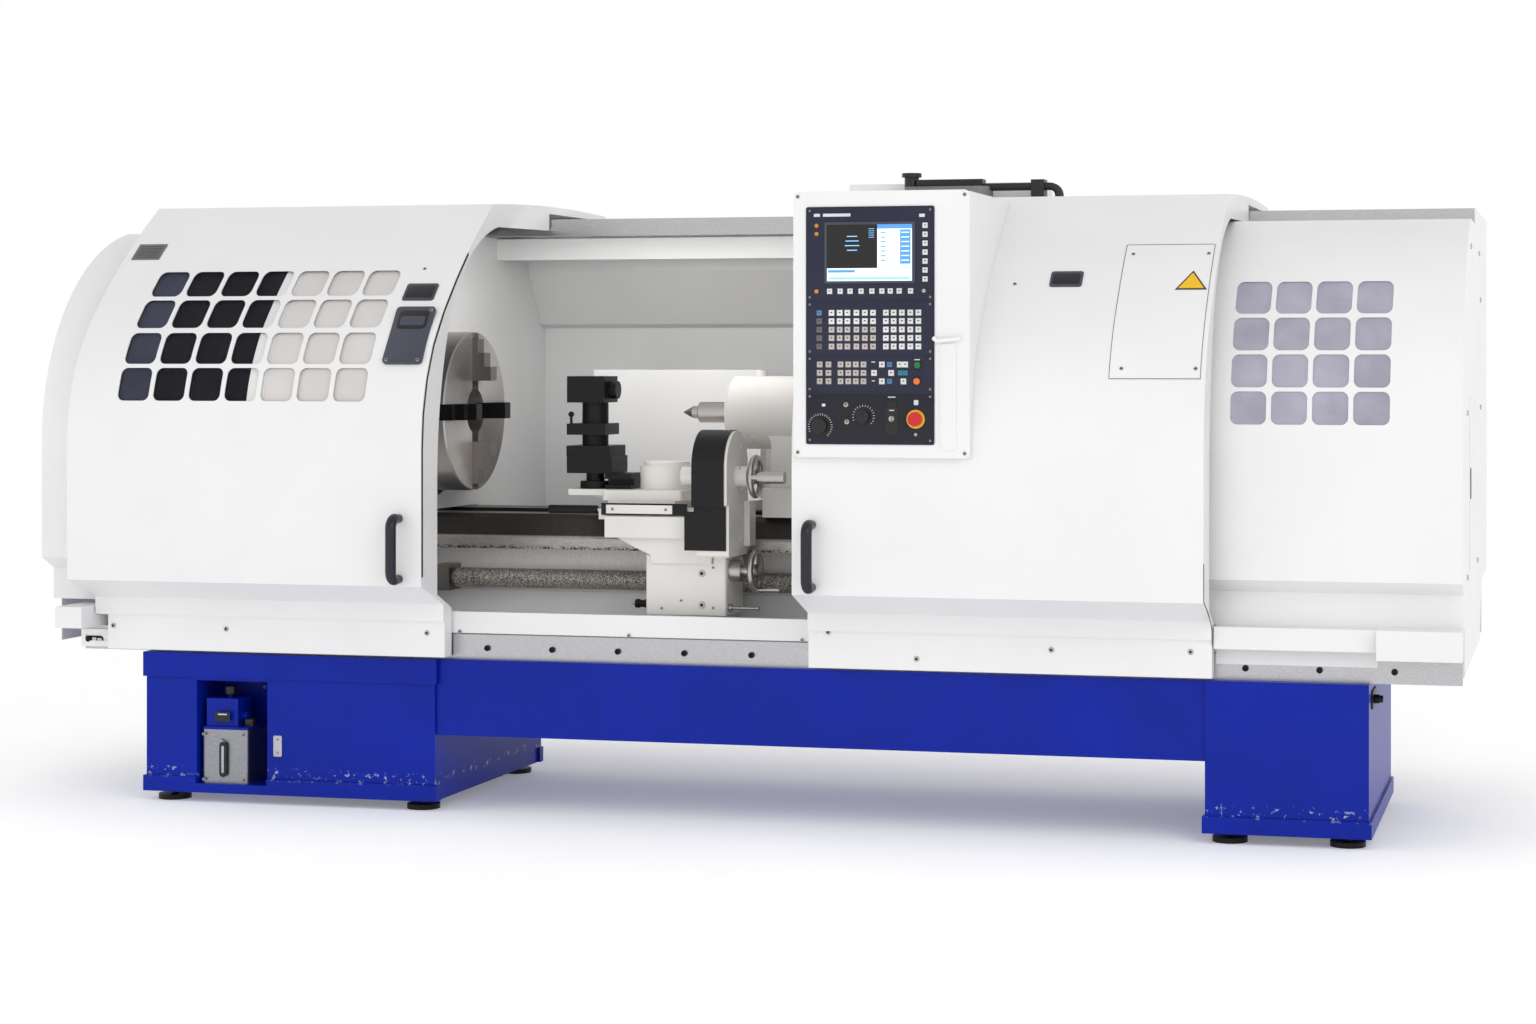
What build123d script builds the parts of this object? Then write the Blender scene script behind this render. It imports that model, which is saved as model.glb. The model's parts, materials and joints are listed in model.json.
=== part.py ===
"""Flat-bed CNC turning lathe with sliding doors, a control pendant and a four-jaw chuck.

Units are millimetres. +X runs along the spindle from the headstock to the tailstock, +Y runs
from the operator to the back of the machine, and +Z is up. The origin is on the floor, in the
middle of the machine's outer box.
"""
import math
import os

from build123d import *

os.makedirs("parts", exist_ok=True)

# ---------------------------------------------------------------- overall sizes
machine_length = 4332.0
machine_depth = 2042.0
left_overhang = 343.0  # left cover beyond the base's left end
front_overhang = 274.0  # door handles in front of the base's front face
left = -machine_length / 2 + left_overhang  # x of the base's left end
front = -machine_depth / 2 + front_overhang  # y of the base's front face
right = machine_length / 2  # x of the right end of the enclosure
rear = machine_depth / 2  # y of the enclosure's back

# ---------------------------------------------------------------- clearances
slide_gap = 0.1  # between a slide and its guide
run_gap = 0.05  # radial, between a turning shaft and its bore
seat_gap = 0.3  # between neighbours that only lie against each other
sheet = 3.0  # folded sheet covers

# ---------------------------------------------------------------- base
foot_height = 30.0
base_top = 458.0
base_wall = 20.0
base_depth = 880.0
left_leg_width = 955.0
right_leg_width = 456.0
right_leg_inset = 256.0  # right leg's right side to the enclosure's right end
bridge_bottom = 230.0
bridge_inset = 10.0
band_proud = 8.0
plinth_height = 48.0
top_band_height = 75.0
foot_radius = 50.0
foot_pad_height = 15.0
foot_stem_radius = 12.0
foot_inset = 63.0
right_leg_right = right - right_leg_inset
right_leg_left = right_leg_right - right_leg_width
left_leg_right = left + left_leg_width

# lubrication niche in the left leg
niche_left = left + 170.0
niche_right = left + 406.0
niche_bottom = 58.0
niche_top = 374.0
niche_depth = 180.0
tank_width = 155.0
tank_height = 165.0
tank_depth = 150.0
pump_width = 105.0
pump_height = 86.0
pump_depth = 90.0

# ---------------------------------------------------------------- bed and screw
bed_top = 880.0
bed_left = left + 40.0
bed_length = 3520.0
way_front = front + 300.0
way_bottom = 773.0
bed_width = 480.0
wall_thickness = 40.0
rib_spacing = 400.0
screw_y = front + 325.0
screw_z = 680.0
screw_radius = 30.0
journal_radius = 20.0
screw_left = left + 890.0
screw_margin = 60.0  # bed's right end beyond the screw's thread
screw_length = bed_left + bed_length - screw_margin - screw_left
block_length = 50.0
block_height = 80.0

# ---------------------------------------------------------------- spindle line
spindle_y = front + 420.0
spindle_z = 1196.0
spindle_radius = 60.0
spindle_bore = 40.0
head_left = left + 60.0
head_length = 680.0
head_half_width = 255.0
head_height = 620.0
bearing_outer = 100.0
bearing_width = 70.0
nose_radius = 115.0
nose_length = 57.0
chuck_radius = 250.0
chuck_length = 110.0
chuck_bore = 70.0
jaw_width = 50.0
jaw_slot_depth = 32.0
pulley_radius = 110.0
motor_pulley_radius = 60.0
pulley_width = 70.0
motor_y = front + 920.0
motor_z = 1000.0
motor_radius = 130.0
motor_length = 420.0
motor_shaft = 19.0
belt_thickness = 8.0

# ---------------------------------------------------------------- enclosure
door_face = front - 200.0
cover_face = front - 30.0
roof_z = 1820.0
cover_top = 1771.0
rail_front = front + 36.0
rail_depth = 44.0
rail_top = 535.0
rail_left = left - 230.0
upper_rail_front = front + 850.0
upper_rail_depth = 55.0
upper_rail_bottom = 1765.0
wall_x = left + 770.0  # work-space face of the wall beside the chuck
tray_top = 600.0
back_wall = front + 1400.0
left_cover_length = 763.0
right_cover_length = 1289.0
window_corner = 20.0

# ---------------------------------------------------------------- doors
left_door_left = left - 156.0
left_door_width = 1153.0
right_door_width = 1172.0
right_door_inset = 689.0  # right door's right edge to the enclosure's right end
right_door_right = right - right_door_inset
right_door_left = right_door_right - right_door_width
door_band_bottom = 467.0
handle_spacing = 178.0
handle_radius = 16.0
handle_post_radius = 13.0
handle_stand_off = 58.0
handle_bend = 27.0
handle_z = 803.0
left_handle_inset = 70.0
right_handle_inset = 59.0
left_window_rows = ((1235, 1334), (1346, 1440), (1455, 1541), (1553, 1631))
left_window_columns = 7
left_window_pitch = 117.5
left_window_width = 103.0
left_window_start = left + 2.0
right_window_rows = 4
right_window_pitch_x = 113.6
right_window_pitch_z = 103.5
right_window_size = (100.0, 92.0)
right_window_centre = (right - 418.0, 1380.0)

# ---------------------------------------------------------------- pendant
pendant_left = right_door_left + 12.0
pendant_width = 510.0
pendant_front = front - 225.0
pendant_bottom = 1060.0
pendant_plate_bottom = 1085.0
pendant_top = 1834.0
plate_thickness = 10.0
bezel_thickness = 3.0
bezel_left = pendant_left + 38.0
bezel_width = 372.0
bezel_bottom = 1121.0
bezel_top = 1790.0
bezel_front = pendant_front - bezel_thickness
control_shaft = 4.0
conduit_radius = 11.0

# ---------------------------------------------------------------- carriage
saddle_left = left + 1440.0
saddle_width = 320.0
saddle_top = 935.7
slide_left = left + 1440.0
slide_width = 250.0
slide_thickness = 30.0
slide_front = front + 130.0
slide_length = 510.0
slide_top = saddle_top + seat_gap + slide_thickness
apron_left = left + 1582.0
apron_width = 251.0
apron_front = front + 120.0
apron_depth = 170.0
apron_bottom = 597.0
apron_top = 775.0
drum_x = left + 1605.0
tool_x = left + 1375.0
tool_y = front + 250.0
drum_radius = 78.0
housing_left = left + 1765.0
housing_width = 100.0
housing_y = front + 130.0
wheel_z = 1012.0
lower_wheel_z = 728.0
lower_wheel_y = front + 170.0
wheel_radius = 65.0
wheel_shaft = 15.0

# ---------------------------------------------------------------- tailstock
tail_left = left + 1890.0
tail_length = 440.0
tail_head_left = left + 1765.0
tail_head_radius = 112.0
quill_radius = 32.0
quill_left = left + 1655.0
centre_tip = left + 1600.0
centre_radius = 16.0


def block(x, y, z, mode=Mode.ADD):
    """A box from three (low, high) pairs."""
    with Locations(((x[0] + x[1]) / 2, (y[0] + y[1]) / 2, (z[0] + z[1]) / 2)):
        Box(x[1] - x[0], y[1] - y[0], z[1] - z[0], mode=mode)


def section(x, length, points, mode=Mode.ADD):
    """A closed outline of (y, z) points, run along X."""
    with BuildSketch(Plane.YZ.offset(x)) as outline:
        with BuildLine():
            Polyline(*points, close=True)
        make_face()
    extrude(outline.sketch, amount=length, mode=mode)


def rod_x(x, length, y, z, radius, mode=Mode.ADD):
    """A round bar along X."""
    with BuildSketch(Plane.YZ.offset(x)) as outline:
        with Locations((y, z)):
            Circle(radius)
    extrude(outline.sketch, amount=length, mode=mode)


def rod_y(y, length, x, z, radius, mode=Mode.ADD):
    """A round bar along Y."""
    with BuildSketch(Plane.XZ.offset(-y)) as outline:
        with Locations((x, z)):
            Circle(radius)
    extrude(outline.sketch, amount=-length, mode=mode)


def rod_z(z, length, x, y, radius, mode=Mode.ADD):
    """A round bar along Z."""
    with BuildSketch(Plane.XY.offset(z)) as outline:
        with Locations((x, y)):
            Circle(radius)
    extrude(outline.sketch, amount=length, mode=mode)


def write(builder, label):
    """Label a finished piece and write its STEP file."""
    builder.part.label = label
    export_step(builder.part, "parts/" + label + ".step")


# ================================================================ base
with BuildPart() as base_frame:
    leg_y = (front, front + base_depth)
    for leg_x in ((left, left_leg_right), (right_leg_left, right_leg_right)):
        block(leg_x, leg_y, (foot_height, base_top))
        plinth_x = (leg_x[0] - band_proud, leg_x[1] + band_proud)
        block(plinth_x, (leg_y[0] - band_proud, leg_y[1]), (foot_height, foot_height + plinth_height))
    band_x = (left - band_proud, left_leg_right + band_proud)
    block(band_x, (front - band_proud, leg_y[1]), (base_top - top_band_height, base_top))
    bridge_y = (front + bridge_inset, front + base_depth - bridge_inset)
    block((left_leg_right, right_leg_left), bridge_y, (bridge_bottom, base_top))
    for hollow_x in ((left, left_leg_right), (right_leg_left, right_leg_right)):
        inner_x = (hollow_x[0] + base_wall, hollow_x[1] - base_wall)
        inner_y = (leg_y[0] + base_wall, leg_y[1] - base_wall)
        block(inner_x, inner_y, (0, base_top - base_wall), Mode.SUBTRACT)
    bridge_hollow_y = (bridge_y[0] + base_wall, bridge_y[1] - base_wall)
    block((left_leg_right, right_leg_left), bridge_hollow_y, (0, base_top - base_wall), Mode.SUBTRACT)
    niche_x = (niche_left, niche_right)
    niche_wall = base_wall / 2
    shell_x = (niche_left - niche_wall, niche_right + niche_wall)
    shell_z = (niche_bottom - niche_wall, niche_top + niche_wall)
    block(shell_x, (front, front + niche_depth + niche_wall), shell_z)
    niche_y = (front - band_proud, front + niche_depth)
    block(niche_x, niche_y, (niche_bottom, niche_top), Mode.SUBTRACT)
    feet_xy = []
    for leg_x in ((left, left_leg_right), (right_leg_left, right_leg_right)):
        for x in (leg_x[0] + foot_inset, leg_x[1] - foot_inset):
            for y in (leg_y[0] + foot_inset, leg_y[1] - foot_inset):
                feet_xy.append((x, y))
    lug = foot_inset - band_proud / 2
    for x, y in feet_xy:
        block((x - lug, x + lug), (y - lug, y + lug), (foot_height, foot_height + base_wall))
    for x, y in feet_xy:
        rod_z(0, base_top / 2, x, y, foot_stem_radius + run_gap, Mode.SUBTRACT)
write(base_frame, "base_frame")

with BuildPart() as leveling_feet:
    for x, y in feet_xy:
        rod_z(0, foot_pad_height, x, y, foot_radius)
        rod_z(foot_pad_height, foot_height + 3 * base_wall, x, y, foot_stem_radius)
        with BuildSketch(Plane.XY.offset(foot_height + base_wall)) as nut:
            with Locations((x, y)):
                RegularPolygon(foot_stem_radius * 1.7, 6)
        extrude(nut.sketch, amount=foot_stem_radius)
write(leveling_feet, "leveling_feet")

tank_x = (niche_left + 10.0, niche_left + 10.0 + tank_width)
tank_y = (front + 10.0, front + 10.0 + tank_depth)
tank_top = niche_bottom + tank_height
with BuildPart() as lube_tank:
    block(tank_x, tank_y, (niche_bottom, tank_top))
    fillet(lube_tank.edges().filter_by(Axis.Z), radius=14)
    offset(amount=-4.0, openings=lube_tank.faces().sort_by(Axis.Z)[-1])
    rod_y(tank_y[0] - 8.0, 8.0, tank_x[0] + 68.0, niche_bottom + 30.0, 12.0)
    rod_y(tank_y[0] - 8.0, 8.0, tank_x[0] + 68.0, niche_bottom + 125.0, 12.0)
write(lube_tank, "lube_tank")

with BuildPart() as lube_pump:
    lid_z = tank_top + 8.0
    block(tank_x, tank_y, (tank_top, lid_z))
    fillet(lube_pump.edges().filter_by(Axis.Z), radius=14)
    pump_x = (tank_x[0] + 12.0, tank_x[0] + 12.0 + pump_width)
    pump_y = (tank_y[0] + 12.0, tank_y[0] + 12.0 + pump_depth)
    block(pump_x, pump_y, (lid_z, lid_z + pump_height))
    rod_z(lid_z + pump_height, 22.0, pump_x[0] + 60.0, pump_y[0] + 40.0, 8.0)
    rod_z(lid_z + pump_height + 22.0, 12.0, pump_x[0] + 60.0, pump_y[0] + 40.0, 18.0)
    rod_x(pump_x[1], 16.0, pump_y[0] + 40.0, lid_z + 30.0, 14.0)
write(lube_pump, "lube_pump")

# ================================================================ bed
bed_right = bed_left + bed_length
way_rear = way_front + bed_width
front_wall = way_front + 80.0
rear_wall = way_rear - 80.0
head_right = head_left + head_length
with BuildPart() as bed:
    front_way = [
        (way_front, way_bottom),
        (way_front, way_bottom + 34.0),
        (way_front + 30.0, bed_top - 14.0),
        (way_front + 45.0, bed_top),
        (way_front + 140.0, bed_top),
        (way_front + 140.0, way_bottom),
    ]
    section(bed_left, bed_length, front_way)
    bed_x = (bed_left, bed_right)
    block(bed_x, (way_rear - 140.0, way_rear), (way_bottom, bed_top))
    block(bed_x, (front_wall, front_wall + wall_thickness), (base_top, way_bottom))
    block(bed_x, (rear_wall - wall_thickness, rear_wall), (base_top, way_bottom))
    block(bed_x, (front_wall - 40.0, front_wall), (base_top, base_top + 32.0))
    block(bed_x, (rear_wall, rear_wall + 40.0), (base_top, base_top + 32.0))
    rib_count = int(bed_length / rib_spacing)
    for i in range(rib_count + 1):
        rib_x = bed_left + min(i * rib_spacing, bed_length - 25.0)
        rib_y = (front_wall + wall_thickness, rear_wall - wall_thickness)
        block((rib_x, rib_x + 25.0), rib_y, (base_top, way_bottom - 30.0))
    block((bed_left, head_right), (way_front + 140.0, way_rear - 140.0), (bed_top - 40.0, bed_top))
write(bed, "bed")

screw_right = screw_left + screw_length
block_y = (front_wall - seat_gap - 95.0, front_wall - seat_gap)
block_z = (screw_z - block_height / 2, screw_z + block_height / 2)
left_block_x = (screw_left - 10.0 - block_length, screw_left - 10.0)
right_block_x = (screw_right + 5.0, screw_right + 5.0 + block_length)
screw_end = right_block_x[1] + 30.0
front_bearing_x = head_right - bearing_width
with BuildPart() as shaft_bearings:
    for x in (head_left, front_bearing_x):
        rod_x(x, bearing_width, spindle_y, spindle_z, bearing_outer)
        rod_x(x, bearing_width, spindle_y, spindle_z, spindle_radius + run_gap, Mode.SUBTRACT)
    for x in (left_block_x, right_block_x):
        block(x, block_y, block_z)
        rod_x(x[0], block_length, screw_y, screw_z, journal_radius + run_gap, Mode.SUBTRACT)
write(shaft_bearings, "shaft_bearings")

with BuildPart() as ball_screw:
    rod_x(screw_left, screw_length, screw_y, screw_z, screw_radius)
    rod_x(left_block_x[0] - 6.0, screw_end - left_block_x[0] + 6.0, screw_y, screw_z, journal_radius)
write(ball_screw, "ball_screw")

with BuildPart() as z_motor:
    motor_x = (right_block_x[1] + seat_gap, right_block_x[1] + seat_gap + 190.0)
    block(motor_x, (screw_y - 75.0, screw_y + 50.0), (screw_z - 75.0, screw_z + 75.0))
    fillet(z_motor.edges().filter_by(Axis.X), radius=12)
    rod_x(motor_x[0], 35.0, screw_y, screw_z, journal_radius + run_gap, Mode.SUBTRACT)
write(z_motor, "z_motor")

# ================================================================ trays and rails
rail_y = (rail_front, rail_front + rail_depth)
rail_right = right - sheet - seat_gap
with BuildPart() as door_rail:
    block((rail_left, rail_right), rail_y, (base_top, rail_top))
    chamfer(door_rail.edges().filter_by(Axis.X).group_by(Axis.Z)[-1], length=3)
write(door_rail, "door_rail")

bolt_pitch = 207.0
bolt_count = int((rail_right - left) / bolt_pitch)
with BuildPart() as rail_bolts:
    for i in range(bolt_count):
        bolt_x = left + 75.0 + i * bolt_pitch
        rod_y(rail_front - 6.0, 6.0, bolt_x, 492.0, 9.0)
        with BuildSketch(Plane.XZ.offset(6.0 - rail_front)) as socket:
            with Locations((bolt_x, 492.0)):
                RegularPolygon(5.0, 6)
        extrude(socket.sketch, amount=-4.0, mode=Mode.SUBTRACT)
write(rail_bolts, "rail_bolts")

tray_left = wall_x + 2.0
tray_right = bed_right
tray_floor = rail_top + 1.0
with BuildPart() as chip_tray:
    tray_back = front_wall - seat_gap
    front_tray = [
        (rail_front, tray_top),
        (rail_front, tray_floor),
        (rail_y[1] + 2.0, tray_floor),
        (tray_back - sheet, base_top + 46.0),
        (tray_back, base_top + 46.0),
        (tray_back, screw_z - block_height / 2 - 1.0),
        (tray_back - sheet, screw_z - block_height / 2 - 1.0),
        (tray_back - sheet, base_top + 49.0),
        (rail_y[1] + 2.0, tray_floor + sheet),
        (rail_front + sheet, tray_floor + sheet),
        (rail_front + sheet, tray_top - sheet),
        (rail_front + 24.0, tray_top - sheet),
        (rail_front + 24.0, tray_top),
    ]
    section(tray_left, tray_right - tray_left, front_tray)
    rear_tray = [
        (rear_wall + seat_gap, 640.0),
        (rear_wall + seat_gap, 560.0),
        (back_wall - seat_gap, 620.0),
        (back_wall - seat_gap, 660.0),
        (back_wall - seat_gap - sheet, 660.0),
        (back_wall - seat_gap - sheet, 620.0 + sheet),
        (rear_wall + seat_gap + sheet, 560.0 + sheet),
        (rear_wall + seat_gap + sheet, 640.0),
    ]
    section(tray_left, tray_right - tray_left, rear_tray)
write(chip_tray, "chip_tray")

skirt_y = front + 40.0
end_block_left = right - 232.0
with BuildPart() as rail_covers:
    block((left - 250.0, left - 160.0), (front - 110.0, rail_y[1]), (rail_top, tray_top))
    block((left - 240.0, left - 125.0), (rail_front - 8.0, rail_front), (466.0, 520.0))
    slot_x = (left - 226.0, left - 139.0)
    block(slot_x, (rail_front - 9.0, rail_front - 4.0), (484.0, 504.0), Mode.SUBTRACT)
    cover_lip = skirt_y - seat_gap
    right_band = [
        (front - 20.0, 550.0),
        (front - 20.0, 612.0),
        (cover_lip, 612.0),
        (cover_lip, 612.0 - sheet),
        (front - 20.0 + sheet, 612.0 - sheet),
        (front - 20.0 + sheet, 550.0),
    ]
    band_left = right_door_right + 5.0
    section(band_left, end_block_left - band_left - 2.0, right_band)
    block((band_left, end_block_left - 2.0), (rail_front - 6.0, rail_front - seat_gap), (503.0, 549.0))
    end_block = [
        (front - 60.0, 532.0),
        (front - 60.0, 615.0),
        (cover_lip, 615.0),
        (cover_lip, 615.0 - sheet),
        (front - 60.0 + sheet, 615.0 - sheet),
        (front - 60.0 + sheet, 532.0),
    ]
    section(end_block_left, right - end_block_left, end_block)
    end_plate_y = (front - 60.0, rail_front - seat_gap)
    block((right - sheet, right), end_plate_y, (532.0, 615.0))
    block((end_block_left, end_block_left + sheet), end_plate_y, (532.0, 615.0))
write(rail_covers, "rail_covers")

inner_left = -machine_length / 2 + sheet + seat_gap
inner_right = right - sheet - seat_gap
upper_rail_y = (upper_rail_front, upper_rail_front + upper_rail_depth)
with BuildPart() as upper_rail:
    block((inner_left, inner_right), upper_rail_y, (upper_rail_bottom, roof_z))
    strip_y = (upper_rail_front - 1.0, upper_rail_front + 6.0)
    block((inner_left, inner_right), strip_y, (upper_rail_bottom + 28.0, roof_z), Mode.SUBTRACT)
    hollow_y = (upper_rail_front + 12.0, upper_rail_y[1] - 6.0)
    block((inner_left, inner_right), hollow_y, (upper_rail_bottom + 6.0, roof_z - 6.0), Mode.SUBTRACT)
write(upper_rail, "upper_rail")

beam_y = (front + 950.0, front + 1010.0)
beam_z = (1690.0, 1760.0)
with BuildPart() as roof_beam:
    beam_x = (wall_x + seat_gap, inner_right)
    block(beam_x, beam_y, beam_z)
    hollow_y = (beam_y[0] + sheet, beam_y[1] - sheet)
    block(beam_x, hollow_y, (beam_z[0] + sheet, beam_z[1] - sheet), Mode.SUBTRACT)
write(roof_beam, "roof_beam")


# ================================================================ fixed covers
def cover_outline(back, bottom):
    """The fixed covers' closed section: skirt, slope, upright face, two arcs and a flat top."""
    with BuildLine() as outline:
        foot = Polyline((back, bottom), (skirt_y, bottom), (skirt_y, 708.0), (cover_face, 745.0))
        face = Line(foot @ 1, (cover_face, 1100.0))
        bend = TangentArc(face @ 1, (cover_face + 118.0, 1490.0), tangent=face % 1)
        brow = TangentArc(bend @ 1, (cover_face + 533.0, cover_top), tangent=bend % 1)
        Polyline(brow @ 1, (back, cover_top), (back, bottom))
    return outline.edges()


def end_panel(x, extra):
    """A flat end panel that closes the enclosure, from the covers' section back to the rear."""
    top_back = upper_rail_front - seat_gap
    with BuildSketch(Plane.YZ.offset(x)) as panel:
        make_face(cover_outline(top_back, tray_top + 12.0))
        with BuildLine():
            Polyline(
                (rail_y[1] + 5.0, tray_top + 12.0),
                (rail_y[1] + 5.0, 477.0),
                (front + 1174.0, 477.0),
                (front + 1336.0, 655.0),
                (rear, 655.0),
                (rear, roof_z),
                (top_back, roof_z),
                (top_back, tray_top + 12.0),
                close=True,
            )
        make_face()
    extrude(panel.sketch, amount=extra)


def cover_skin(x, length):
    """The folded front skin of a fixed cover, open at the back and the bottom."""
    back = upper_rail_front - seat_gap
    with BuildSketch(Plane.YZ.offset(x)) as skin:
        make_face(cover_outline(back, tray_top + 12.0))
        with BuildSketch(mode=Mode.PRIVATE) as cavity:
            make_face(cover_outline(back, tray_top + 12.0))
            offset(amount=-sheet, kind=Kind.INTERSECTION)
        add(cavity.sketch, mode=Mode.SUBTRACT)
        with Locations((back, (cover_top + tray_top) / 2 - sheet)):
            Rectangle(4 * sheet, cover_top - tray_top, mode=Mode.SUBTRACT)
        with Locations(((back + skirt_y) / 2 + 20.0, tray_top + 12.0)):
            Rectangle(back - skirt_y - 10.0, 4 * sheet, mode=Mode.SUBTRACT)
    extrude(skin.sketch, amount=length)


cover_left = -machine_length / 2
with BuildPart() as left_cover:
    cover_skin(cover_left + sheet, left_cover_length - sheet)
    end_panel(cover_left, sheet)
write(left_cover, "left_cover")

with BuildPart() as right_cover:
    cover_skin(right - right_cover_length, right_cover_length - sheet)
    end_panel(right - sheet, sheet)
    with BuildSketch(Plane.XZ.offset(-front - 500.0)) as panes:
        with Locations(right_window_centre):
            with GridLocations(right_window_pitch_x, right_window_pitch_z, 4, right_window_rows):
                RectangleRounded(right_window_size[0], right_window_size[1], window_corner)
    extrude(panes.sketch, amount=700.0, mode=Mode.SUBTRACT)
write(right_cover, "right_cover")


def cover_pane(x, length, z_low, z_high, gap):
    """A clear pane that follows the fixed cover's curve, just behind its skin."""
    back = upper_rail_front - seat_gap
    with BuildSketch(Plane.YZ.offset(x)) as pane:
        with BuildSketch(mode=Mode.PRIVATE) as outer:
            make_face(cover_outline(back, tray_top + 12.0))
            offset(amount=-sheet - gap, kind=Kind.INTERSECTION)
        with BuildSketch(mode=Mode.PRIVATE) as inner:
            make_face(cover_outline(back, tray_top + 12.0))
            offset(amount=-2 * sheet - gap, kind=Kind.INTERSECTION)
        add(outer.sketch)
        add(inner.sketch, mode=Mode.SUBTRACT)
        with Locations((front + 300.0, (z_low + z_high) / 2)):
            Rectangle(700.0, z_high - z_low, mode=Mode.INTERSECT)
    extrude(pane.sketch, amount=length)


with BuildPart() as right_window:
    pane_width = 4 * right_window_pitch_x + 30.0
    cover_pane(right_window_centre[0] - pane_width / 2, pane_width, 1150.0, 1605.0, 0.0)
write(right_window, "right_window")

with BuildPart() as headstock_wall:
    with BuildSketch(Plane.YZ.offset(wall_x - sheet)) as wall_sheet:
        make_face(cover_outline(upper_rail_front - seat_gap, tray_top + 12.0))
        with BuildLine():
            Polyline(
                (upper_rail_front - 5.0, tray_top + 12.0),
                (back_wall - 1.0, tray_top + 12.0),
                (back_wall - 1.0, 1466.0),
                (front + 1354.0, 1479.0),
                (front + 1234.0, 1659.0),
                (front + 1234.0, upper_rail_bottom - 1.0),
                (upper_rail_front - 5.0, upper_rail_bottom - 1.0),
                close=True,
            )
        make_face()
    extrude(wall_sheet.sketch, amount=sheet)
    wall_cut = (wall_x - 2 * sheet, wall_x + sheet)
    block(wall_cut, (way_front - 4.0, way_rear + 4.0), (0.0, bed_top + 4.0), Mode.SUBTRACT)
    rod_x(wall_cut[0], 3 * sheet, spindle_y, spindle_z, chuck_radius + 20.0, Mode.SUBTRACT)
write(headstock_wall, "headstock_wall")

with BuildPart() as rear_enclosure:
    enclosure_x = (inner_left, inner_right)
    roof_front = upper_rail_y[1] + seat_gap
    rear_box = [
        (front + 1235.0, roof_z),
        (rear, roof_z),
        (rear, 655.0),
        (back_wall, 655.0),
        (back_wall, 1467.0),
        (front + 1355.0, 1480.0),
        (front + 1235.0, 1660.0),
    ]
    with BuildSketch(Plane.YZ.offset(inner_left)) as box_section:
        with BuildLine():
            Polyline(*rear_box, close=True)
        make_face()
        with BuildSketch(mode=Mode.PRIVATE) as box_hollow:
            with BuildLine():
                Polyline(*rear_box, close=True)
            make_face()
            offset(amount=-sheet, kind=Kind.INTERSECTION)
        add(box_hollow.sketch, mode=Mode.SUBTRACT)
    extrude(box_section.sketch, amount=inner_right - inner_left)
    block(enclosure_x, (roof_front, front + 1236.0), (roof_z - sheet, roof_z))
    block(enclosure_x, (back_wall, back_wall + sheet), (477.0, 656.0))
write(rear_enclosure, "rear_enclosure")

# ================================================================ headstock
head_x = (head_left, head_right)
head_y = (spindle_y - head_half_width, spindle_y + head_half_width)
with BuildPart() as headstock:
    block(head_x, head_y, (bed_top, bed_top + head_height))
    fillet(headstock.edges().filter_by(Axis.X).group_by(Axis.Z)[-1], radius=40)
    rod_x(head_left, head_length, spindle_y, spindle_z, spindle_radius + 20.0, Mode.SUBTRACT)
    for x in (head_left, front_bearing_x):
        rod_x(x, bearing_width, spindle_y, spindle_z, bearing_outer, Mode.SUBTRACT)
write(headstock, "headstock")

pulley_x = head_left - 50.0 - pulley_width
nose_x = head_right + 5.0
chuck_x = nose_x + nose_length
with BuildPart() as spindle:
    rod_x(pulley_x - 10.0, nose_x - pulley_x + 10.0, spindle_y, spindle_z, spindle_radius)
    rod_x(nose_x, nose_length, spindle_y, spindle_z, nose_radius)
    rod_x(pulley_x, pulley_width, spindle_y, spindle_z, pulley_radius + 6.0)
    belt_x = (pulley_x + 6.0, pulley_x + pulley_width - 6.0)
    with BuildSketch(Plane.YZ.offset(belt_x[0])) as groove:
        with Locations((spindle_y, spindle_z)):
            Circle(pulley_radius + 7.0)
            Circle(pulley_radius, mode=Mode.SUBTRACT)
    extrude(groove.sketch, amount=belt_x[1] - belt_x[0], mode=Mode.SUBTRACT)
    spindle_length = chuck_x - pulley_x + 10.0
    rod_x(pulley_x - 10.0, spindle_length, spindle_y, spindle_z, spindle_bore, Mode.SUBTRACT)
write(spindle, "spindle")

chuck_face = chuck_x + chuck_length
jaw_angles = (90, 0, 270, 180)
with BuildPart() as chuck:
    rod_x(chuck_x, chuck_length, spindle_y, spindle_z, chuck_radius)
    chamfer(chuck.edges().filter_by(GeomType.CIRCLE), length=4)
    rod_x(chuck_x, chuck_length, spindle_y, spindle_z, chuck_bore, Mode.SUBTRACT)
    with BuildSketch(Plane.YZ.offset(chuck_face - jaw_slot_depth)) as slots:
        with Locations((spindle_y, spindle_z)):
            Rectangle(2 * chuck_radius + 10.0, jaw_width)
            Rectangle(jaw_width, 2 * chuck_radius + 10.0)
    extrude(slots.sketch, amount=jaw_slot_depth + 1.0, mode=Mode.SUBTRACT)
write(chuck, "chuck")

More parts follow.
